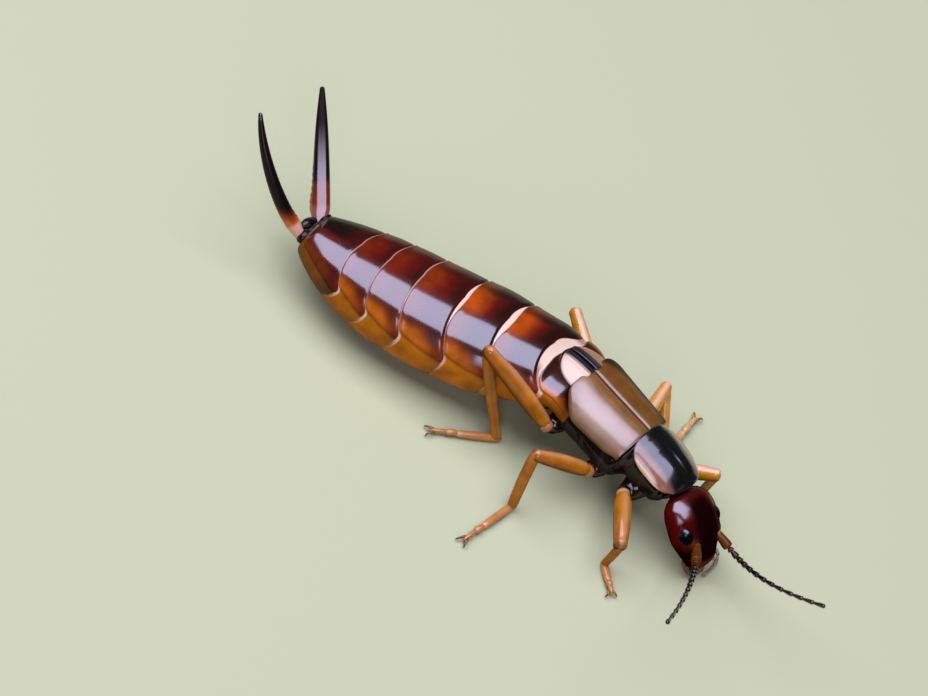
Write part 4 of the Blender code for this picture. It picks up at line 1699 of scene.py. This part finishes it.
@dataclass(frozen=True)
class Leg:
    """One leg as lengths in millimetres and headings in degrees from +X toward +Y."""

    name: str
    hip: Tuple[float, float, float]
    femur: float
    femur_heading: float
    femur_rise: float
    tibia: float
    tibia_heading: float
    tarsus: float
    tarsus_heading: float
    thick: float
    sole: float = 0.10
    hair_length: float = 0.09
    shin_hairs: int = 40
    foot_hairs: int = 22

    def places(self) -> Tuple[Vector, Vector, Vector, Vector]:
        """Give the hip, knee, ankle and toe; the ankle is at sole height.

        Returns:
            The four points in millimetres.
        """
        hip = Vector(self.hip)
        knee = hip + heading(self.femur_heading, self.femur_rise) * self.femur
        slope = -math.degrees(math.asin(min(0.98, (knee.z - self.sole) / self.tibia)))
        ankle = knee + heading(self.tibia_heading, slope) * self.tibia
        ankle.z = self.sole
        return hip, knee, ankle, ankle + heading(self.tarsus_heading, 0.0) * self.tarsus

    def build(self, finish: bpy.types.Material, bristles: Bristles) -> None:
        """Model hip, thigh, shin, foot joints and claws.

        Args:
            finish: the piece's material.
            bristles: takes the fine hairs.
        """
        hip, knee, ankle, toe = self.places()
        pieces = [self.coxa(hip, knee), self.trochanter(hip, knee), self.thigh(hip, knee)]
        pieces.append(self.shin(knee, ankle, bristles))
        pieces += self.foot(ankle, toe, bristles)
        piece = join_pieces(self.name.replace("leg_", "limb_"), pieces)
        set_in_place(piece, finish, "leg", self.name)

    def coxa(self, hip: Vector, knee: Vector) -> bpy.types.Object:
        """Model the dark cone that hangs the leg from the thorax.

        Args:
            hip: the hip.
            knee: the knee.

        Returns:
            The cone.
        """
        hand = 1.0 if "left" in self.name else -1.0
        along = (hip - THORAX.at).dot(THORAX_AHEAD)
        start = THORAX.point(along + 0.08, hand * 0.40, -0.62)
        end = hip + (knee - hip).normalized() * 0.04
        bow = Vector((0.0, 0.0, -0.10))
        stations = stations_along(
            straight(start, end, bow), 30, lambda share: mix(0.42, 0.22, share) * rounded(share, 0.16, 0.3)
        )

        def marks(station: Station, turn: float) -> Tuple[float, float, Marks]:
            """Give an oval, black but for its brown end."""
            across, above = oval(station, turn)
            brown = smooth((station.share - 0.93) / 0.06)
            return across, above, (1.0 - 0.5 * brown, 0.0, 0.8, 0.0, underside(turn))

        return lay_skin("coxa", 40, stations, marks)

    def trochanter(self, hip: Vector, knee: Vector) -> bpy.types.Object:
        """Model the small pale joint between hip and thigh.

        Args:
            hip: the hip.
            knee: the knee.

        Returns:
            The joint.
        """
        way = (knee - hip).normalized()
        pale = 0.65 if "front" in self.name else 0.25
        stations = stations_along(
            straight(hip - way * 0.08, hip + way * 0.24),
            20,
            lambda share: 0.190 * rounded(share, 0.4, 0.3),
        )
        return lay_skin("trochanter", 28, stations, lambda s, t: (*oval(s, t), (0.15, pale, 0.5, 0.0)))

    def thigh(self, hip: Vector, knee: Vector) -> bpy.types.Object:
        """Model the thigh, deepest before its middle, with a groove that takes the shin.

        Args:
            hip: the hip.
            knee: the knee.

        Returns:
            The thigh.
        """
        way = (knee - hip).normalized()
        lift = Vector((0, 0, 0.025 * self.femur))
        half = self.thick / 2

        def wide(share: float) -> float:
            """Give the thigh's half thickness."""
            body = 0.80 + 0.20 * math.sin(math.pi * min(1.0, share * 1.12 + 0.04)) ** 0.8
            body -= 0.14 * bump(share, 0.0, 0.10)
            return half * body * rounded(share, 0.06, 0.25)

        def marks(station: Station, turn: float) -> Tuple[float, float, Marks]:
            """Give an oval with the shin's groove below, a darker knee, a painted highlight along its top and
            painted shade along its lower flanks.
            """
            under = smooth((abs(math.degrees(turn)) - 140.0) / 25.0) * smooth((station.share - 0.5) / 0.3)
            across, above = oval(station, turn, 2.0, -0.03 * under)
            flank = abs(math.degrees(turn))
            # Darker at the knee, and painted shade along the lower flanks.
            knee_dark_and_painted_shade = 0.25 * smooth((station.share - 0.93) / 0.05) + 0.55 * bump(flank, 112.0, 30.0)
            # A pale stripe along the top, stronger on the far legs: a painted highlight.
            ridge = 0.40 * bump(flank, 0.0, 26.0) * (0.5 + 0.5 * station.share)
            if "left" in self.name:
                ridge = 0.52 * bump(flank, 0.0, 25.0)
            tone = smooth((station.share - 0.55) / 0.45)
            return across, above, (knee_dark_and_painted_shade, ridge, 0.20 + 0.35 * tone, 0.2 * tone, underside(turn))

        stations = stations_along(straight(hip + way * 0.06, knee + way * 0.10, lift), 60, wide, 1.0)
        for station in stations:
            station.wide *= 0.88
        return lay_skin("thigh", 40, stations, marks)

    def shin(self, knee: Vector, ankle: Vector, bristles: Bristles) -> bpy.types.Object:
        """Model the shin: a narrow neck at the knee, then even, with rows of hairs below.

        Args:
            knee: the knee.
            ankle: the ankle.
            bristles: takes the fine hairs.

        Returns:
            The shin.
        """
        way = (ankle - knee).normalized()
        bow = way.cross(UP).normalized() * 0.03

        def wide(share: float) -> float:
            """Give the shin's half thickness."""
            neck = mix(0.80, 1.0, smooth(share / 0.16))
            half = 0.122 if "front" in self.name else 0.160
            body = half * (1.0 - 0.14 * share) + 0.010 * math.sin(math.pi * share)
            return body * neck * rounded(share, 0.05, 0.25)

        def marks(station: Station, turn: float) -> Tuple[float, float, Marks]:
            """Give an oval with dark ends, and painted shade along its flanks."""
            across, above = oval(station, turn)
            dark = 0.30 * bump(station.share, 0.03, 0.05) + 0.25 * smooth((station.share - 0.95) / 0.04)
            # Painted shade along both lower flanks.
            dark += 0.30 * bump(abs(math.degrees(turn)), 100.0, 18.0)
            return across, above, (dark, 0.10, 0.35 * (1.0 - station.share), 0.0, underside(turn))

        points = straight(knee - way * 0.10, ankle + way * 0.03, bow)
        stations = stations_along(points, 50, wide, 1.0, Vector((0.3, 0.2, 1)))
        self.hair(stations, way, bristles, self.shin_hairs, 0.35)
        return lay_skin("shin", 32, stations, marks)

    def foot(self, ankle: Vector, toe: Vector, bristles: Bristles) -> List[bpy.types.Object]:
        """Model the long first joint, the small second, the slim third and two claws.

        Args:
            ankle: the ankle.
            toe: the tip.
            bristles: takes the fine hairs.

        Returns:
            The joints and claws.
        """
        way = (toe - ankle).normalized()
        length = (toe - ankle).length
        pieces = []
        for start, end, size in FOOT_JOINTS:
            first = ankle + way * (start * length)
            last = ankle + way * (end * length)
            swell = Vector((0, 0, 0.05 if end > 0.7 else 0.0))

            def wide(share: float, size: float = size) -> float:
                """Give the foot joint's half thickness."""
                return size * (0.80 + 0.20 * math.sin(math.pi * share)) * rounded(share, 0.14, 0.3)

            def marks(station: Station, turn: float) -> Tuple[float, float, Marks]:
                """Give an oval that is flat at the sole, dark at its root and pale at its end."""
                across, above = oval(station, turn)
                above = max(above, -self.sole + 0.002 - (station.centre.z - self.sole))
                dark = 0.30 * bump(station.share, 0.0, 0.05)
                pale = 0.25 + 0.35 * smooth((station.share - 0.8) / 0.15)
                return across, above, (dark, pale, 0.15, 0.0, underside(turn))

            stations = stations_along(straight(first, last, swell), 24, wide)
            pieces.append(lay_skin("foot_joint", 24, stations, marks))
            self.hair(stations, way, bristles, self.foot_hairs, 0.65 + 0.3 * start)
        across = way.cross(UP).normalized()
        for turn in (-1.0, 1.0):
            root = ankle + way * (0.87 * length) + across * turn * 0.03 + UP * 0.02
            end = toe + across * turn * 0.17 - Vector((0, 0, self.sole - 0.03))
            middle = toe + across * turn * 0.13 + UP * 0.03
            points = (root, mix(root, middle, 0.6) + UP * 0.03, middle, end)
            stations = stations_along(
                points, 18, lambda share: mix(0.050, 0.014, share) * rounded(share, 0.1, 0.4)
            )
            pieces.append(
                lay_skin("claw", 12, stations, lambda s, t: (*oval(s, t), (0.2 + 0.7 * s.share, 0, 0.4, 0)))
            )
        return pieces

    def hair(
        self, stations: Sequence[Station], way: Vector, bristles: Bristles, count: int, place: float
    ) -> None:
        """Set hairs on a stretch of leg, leaning toward the foot.

        Args:
            stations: the stretch's stations.
            way: the direction toward the foot.
            bristles: takes the hairs.
            count: how many hairs to set.
            place: where the stretch starts on the unwrapped leg, from hip to claw.
        """
        draw = random.Random(len(bristles.roots) + int(self.tibia * 100))
        for _ in range(count):
            station = draw.choice(stations[2:-1])
            turn = draw.gauss(math.pi, 1.2)
            out = station.side * math.sin(turn) + station.up * math.cos(turn)
            root = station.centre + out * station.wide * 0.92
            if root.z > self.hair_length * 0.6:
                spot = unwrapped(SKINS.index(self.name), turn, place + 0.28 * station.share)
                lean = out * draw.uniform(0.4, 0.8) + way
                bristles.add(root, lean, self.hair_length * draw.uniform(0.7, 1.2), spot)


# ---- tail


@dataclass
class Forceps:
    """One arm of the forceps: stout, toothed and orange at the root, black to the tip."""

    hand: Hand
    root_offset: Vector
    aim: Vector
    bow: Vector
    face: Vector = Vector((1.0, 0.0, 0.0))
    power: float = 2.1
    inner: float = 0.0
    thick: float = 0.42
    length: float = 3.52
    tip: float = 0.12

    def build(self, finish: bpy.types.Material, end: Vector) -> None:
        """Lay the arm along its curve.

        Args:
            finish: the piece's material.
            end: the middle of the abdomen's end.
        """
        root = end + self.root_offset
        tip = root + self.aim.normalized() * self.length
        points = (root, mix(root, tip, 0.30) + self.bow, mix(root, tip, 0.70) + self.bow * 1.1, tip)
        start = mix(root, end, 0.30) - self.aim.normalized() * 0.34

        def wide(share: float) -> float:
            """Give the arm's half thickness."""
            return mix(self.thick, self.tip, share**2.0) / 2 * rounded(share, 0.02, 0.3)

        stations = stations_along(points, 0, wide, 0.90, self.face, end_shares(120))
        for station in stations:
            if station.share < 0.06:
                part = station.share / 0.06
                first = mix(start, root, part)
                station.centre = mix(first, mix(root, bezier(points, 0.06), part), part)
                station.wide = self.thick / 2 * mix(0.72, 1.0, smooth(part))
                station.high = station.wide * 0.9
        piece = lay_skin(f"pincer_{self.hand.word}", 56, stations, self.outline)
        set_in_place(piece, finish, "forceps", f"forceps_{self.hand.word}")

    def outline(self, station: Station, turn: float) -> Tuple[float, float, Marks]:
        """Give the inner edge its blunt teeth and the outer face its shallow furrow.

        Args:
            station: the ring that is laid.
            turn: the angle from the ring's top, in radians.

        Returns:
            How far the point lies across and above the middle, and its marks.
        """
        share = station.share
        inner = bump(abs(math.degrees(turn) - self.inner), 0.0, 34.0)
        teeth = 0.018 * (0.5 + 0.5 * math.cos(share * 120.0)) * smooth((0.42 - share) / 0.1)
        flange = 0.050 * bump(share, 0.09, 0.09)
        across, above = oval(station, turn, self.power, inner * (teeth + flange) * smooth(share / 0.05))
        if self.hand is Hand.RIGHT:
            edge = math.sin(turn - math.radians(self.inner))
            dark = smooth((share - 0.10 - 0.07 * edge) / 0.22)
            pale = 0.75 * smooth((0.095 - share) / 0.05)
            dull = 0.92 * smooth((share - 0.10) / 0.10) * (1.0 - smooth((share - 0.93) / 0.03))
            return across, above, (0.97 * dark, pale, 1.0 - dark, 0.4 * (1.0 - dark), dull)
        dark = max(0.62, smooth((share - 0.10) / 0.24)) * (1.0 - 0.8 * inner * smooth((0.22 - share) / 0.1))
        dull = smooth((share - 0.28) / 0.46)
        return across, above, (0.97 * dark, 0.10 * smooth((0.10 - share) / 0.05), 1.0 - dark, 0.4, dull)


# Distance across, length and half width of the plate and its two knobs, in millimetres.
KNOBS = ((0.06, 0.30, 0.26), (-0.16, 0.22, 0.15), (0.28, 0.22, 0.16))
COLLARS = (Vector((-0.34, 0.02, 0.05)), Vector((0.54, 0.02, 0.04)))
KNOB_MARKS: Marks = (0.98, 0.0, 0.0, 0.0, 0.7)
COLLAR_MARKS: Marks = (0.95, 0.0, 0.1, 0.0, 0.8)


@dataclass
class EndPlate:
    """The last back plate's rim and the blunt knobbed plate between the forceps."""

    root: Vector
    ahead: Vector

    def build(self, finish: bpy.types.Material) -> None:
        """Model the plate, its two knobs and the collars that the forceps turn in.

        Args:
            finish: the piece's material.
        """
        tilt = (self.ahead + Vector((0.12, 0, 0.35))).normalized()
        start = self.root - tilt * 0.08
        pieces = []
        for out, length, size in KNOBS:
            first = start + Vector((out, 0.0, 0.0))
            last = first + (tilt + Vector((out * 0.8, 0, 0))).normalized() * length
            stations = stations_along(
                straight(first, last), 24, lambda share, size=size: size * rounded(share, 0.45, 0.2), 0.50
            )
            pieces.append(lay_skin("knob", 28, stations, lambda s, t: (*oval(s, t), KNOB_MARKS)))
        for offset in COLLARS:
            first = self.root + offset - self.ahead * 0.32
            stations = stations_along(
                straight(first, first + self.ahead * 0.28),
                20,
                lambda share: 0.25 * rounded(share, 0.45, 0.3),
                0.86,
            )
            pieces.append(lay_skin("collar", 32, stations, lambda s, t: (*oval(s, t), COLLAR_MARKS)))
        piece = join_pieces("end_plate", pieces)
        set_in_place(piece, finish, "dark_cuticle", "pygidium")


# ---- studio


@dataclass(frozen=True)
class SoftBox:
    """One soft light, with its distance and size in millimetres and its power in watts."""

    name: str
    way: Vector
    far: float
    size: Tuple[float, float]
    power: float
    colour: str

    def add(self, middle: Vector) -> None:
        """Add the light.

        Args:
            middle: the place in metres that it faces.
        """
        data = bpy.data.lights.new(self.name, "AREA")
        data.shape = "RECTANGLE"
        data.size, data.size_y = self.size[0] * MM, self.size[1] * MM
        data.energy = self.power
        data.color = linear(self.colour)[:3]
        lamp = bpy.data.objects.new(self.name, data)
        bpy.context.scene.collection.objects.link(lamp)
        way = self.way.normalized()
        lamp.location = middle + way * self.far * MM
        lamp.rotation_euler = way.to_track_quat("Z", "Y").to_euler()


@dataclass
class Studio:
    """A pale floor, one large soft box overhead, a weak fill in front and the camera."""

    across: Vector = Vector((0.632, -0.706, 0.321))
    toward: Vector = Vector((-0.610, -0.198, 0.767))
    aim: Vector = Vector((-1.306, 4.479, 1.893))
    frame_width: float = 25.08
    distance: float = 250.0
    lit: Vector = Vector((-0.6, 3.6, 1.5))
    boxes: Tuple[SoftBox, ...] = (
        SoftBox("overhead_box", Vector((-0.06, 0.20, 0.98)), 130.0, (120.0, 190.0), 0.60, "#DCDAFF"),
        SoftBox("front_fill", Vector((-0.71, -0.40, 0.53)), 220.0, (84.0, 130.0), 0.27, "#E2D6FA"),
    )
    floor_size: float = 1.2
    floor_gap: float = 0.00002
    floor_roughness: float = 0.85
    floor_gloss: float = 0.2
    floor_colour: str = "#9A9F77"
    sky_colour: str = "#C9D0C8"
    sky_strength: float = 0.09

    def floor(self) -> None:
        """Add the floor just under the soles."""
        bpy.ops.object.select_all(action="DESELECT")
        bpy.ops.mesh.primitive_plane_add(size=self.floor_size, location=(0.0, 0.0, -self.floor_gap))
        floor = bpy.context.active_object
        floor.name = "floor"
        made = bpy.data.materials.new("pale_floor")
        made.use_nodes = True
        shader = made.node_tree.nodes["Principled BSDF"]
        shader.inputs["Base Color"].default_value = linear(self.floor_colour)
        shader.inputs["Roughness"].default_value = self.floor_roughness
        shader.inputs["Specular IOR Level"].default_value = self.floor_gloss
        floor.data.materials.append(made)

    def sky(self) -> None:
        """Add the weak, even light from all sides."""
        sky = bpy.data.worlds.new("studio_sky")
        sky.use_nodes = True
        back = sky.node_tree.nodes["Background"]
        back.inputs["Color"].default_value = linear(self.sky_colour)
        back.inputs["Strength"].default_value = self.sky_strength
        bpy.context.scene.world = sky

    def camera(self) -> None:
        """Set the camera by its measured directions."""
        toward = self.toward.normalized()
        over = toward.cross(self.across.normalized()).normalized()
        across = over.cross(toward).normalized()
        data = bpy.data.cameras.new("portrait_camera")
        data.sensor_width = 36.0
        data.lens = data.sensor_width * self.distance / self.frame_width
        data.clip_start, data.clip_end = 0.01, 10.0
        camera = bpy.data.objects.new("portrait_camera", data)
        bpy.context.scene.collection.objects.link(camera)
        turn = Matrix((across, over, toward)).transposed().to_4x4()
        turn.translation = to_row(self.aim) + toward * self.distance * MM
        camera.matrix_world = turn
        bpy.context.scene.camera = camera

    def build(self) -> None:
        """Set up floor, lights, sky and camera."""
        self.floor()
        for box in self.boxes:
            box.add(to_row(self.lit))
        self.sky()
        bpy.context.scene.view_settings.view_transform = "Standard"
        self.camera()


# ---- the animal

LEGS = (  # name, hip, thigh, heading, rise, shin, heading, foot, heading, thickness
    Leg("leg_hind_right", (-0.95, 1.39, 1.49), 2.96, 109.0, 32.9, 3.32, -73.2, 2.05, 137.2, 0.54),
    Leg("leg_middle_right", (-0.78, -0.20, 1.18), 2.12, 146.4, 24.3, 1.90, -138.0, 2.10, 177.6, 0.49),
    Leg("leg_front_right", (-0.58, -1.25, 1.28), 1.87, -142.7, 2.9, 1.25, 45.0, 1.02, -125.9, 0.56),
    Leg("leg_hind_left", (1.30, 1.44, 1.22), 2.40, 60.0, 11.0, 2.60, -97.0, 2.10, 80.0, 0.50),
    Leg("leg_middle_left", (1.20, -0.18, 1.05), 1.95, 15.0, 8.0, 1.88, -125.0, 1.90, 8.0, 0.49),
    Leg("leg_front_left", (1.02, -1.24, 1.06), 1.65, -52.5, 12.0, 1.36, 165.0, 1.05, -112.0, 0.50),
)
FORCEPS = (
    Forceps(
        Hand.RIGHT,
        root_offset=Vector((-0.42, 0.20, 0.12)),
        aim=Vector((0.11, 2.53, 2.43)),
        bow=Vector((-0.32, 0.0, -0.08)),
    ),
    Forceps(
        Hand.LEFT,
        root_offset=Vector((0.62, 0.16, 0.06)),
        aim=Vector((1.17, 2.12, 2.50)),
        bow=Vector((0.10, 0.05, -0.10)),
        face=Vector((-0.704, -0.344, 0.621)),
        power=4.2,
        inner=-90.0,
        thick=0.52,
    ),
)
FEELERS = (
    Feeler(Hand.LEFT, (Vector((0.0, -0.75, -0.35)), Vector((-0.3, -1.54, -0.28)), Vector((-0.9, -3.7, 1.9)))),
    Feeler(
        Hand.RIGHT,
        (Vector((-0.44, -0.42, 0.02)), Vector((-2.0, -1.05, 0.95)), Vector((-4.66, -1.63, 2.80))),
    ),
)
BELLY_HAIRS = 800


def build_tail(finishes: Finishes, hairs: Bristles) -> None:
    """Build the abdomen, its end plate and the forceps.

    Args:
        finishes: the animal's finishes.
        hairs: takes the belly's fine hairs.
    """
    pincer = finishes.forceps.make()
    abdomen = Abdomen()
    abdomen.build(finishes.abdomen.make())
    abdomen.hairs(hairs, BELLY_HAIRS)
    tail = abdomen.line[3]
    ahead = (tail - abdomen.line[2]).normalized()
    EndPlate(tail + ahead * 0.10, ahead).build(pincer)
    for arm in FORCEPS:
        arm.build(pincer, tail)


def build_trunk(finishes: Finishes) -> None:
    """Build the thorax with its shield, wing cases and wing tips.

    Args:
        finishes: the animal's finishes.
    """
    Thorax().build(finishes.thorax.make())
    Pronotum().build(finishes.shield.make())
    wing_case, wing_tip = finishes.wing_case.make(), finishes.wing_tip.make()
    for hand in Hand:
        WingCase(hand).build(wing_case)
        WingTip(hand).build(wing_tip)


def build_head(finishes: Finishes) -> None:
    """Build the head with its mouth, eyes and jaw feelers.

    Args:
        finishes: the animal's finishes.
    """
    head = Head()
    head.build_capsule(finishes.head.make())
    mouth, eye = finishes.mouth.make(), finishes.eye.make()
    head.build_mouth(mouth)
    for hand in Hand:
        head.build_eye(hand, eye)
        head.build_palp(hand, mouth)


def build_limbs(finishes: Finishes, hairs: Bristles) -> None:
    """Build the feelers and the legs.

    Args:
        finishes: the animal's finishes.
        hairs: takes the limbs' fine hairs.
    """
    feeler = finishes.feeler.make()
    for each in FEELERS:
        each.build(feeler, hairs)
    shaded, clear = finishes.leg.make(), finishes.backlit_leg.make()
    for leg in LEGS:
        # The far (left) legs take the lit copy of the leg finish: painted light.
        leg.build(clear if "left" in leg.name else shaded, hairs)


def main() -> None:
    """Build the animal from tail to feelers, then its studio with its two soft boxes."""
    logging.basicConfig(level=logging.INFO, format="%(name)s: %(message)s")
    LOG.info("frame: %d solids", len(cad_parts))
    bpy.ops.object.select_all(action="DESELECT")
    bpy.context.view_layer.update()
    finishes = Finishes()
    body_hair, limb_hair = Bristles("body_hairs"), Bristles("limb_hairs")
    build_tail(finishes, body_hair)
    build_trunk(finishes)
    build_head(finishes)
    build_limbs(finishes, limb_hair)
    bristle = finishes.bristle.make()
    set_in_place(body_hair.build(), bristle, "abdomen")
    set_in_place(limb_hair.build(), bristle, "leg")
    Studio().build()


if __name__ == "__main__":
    main()
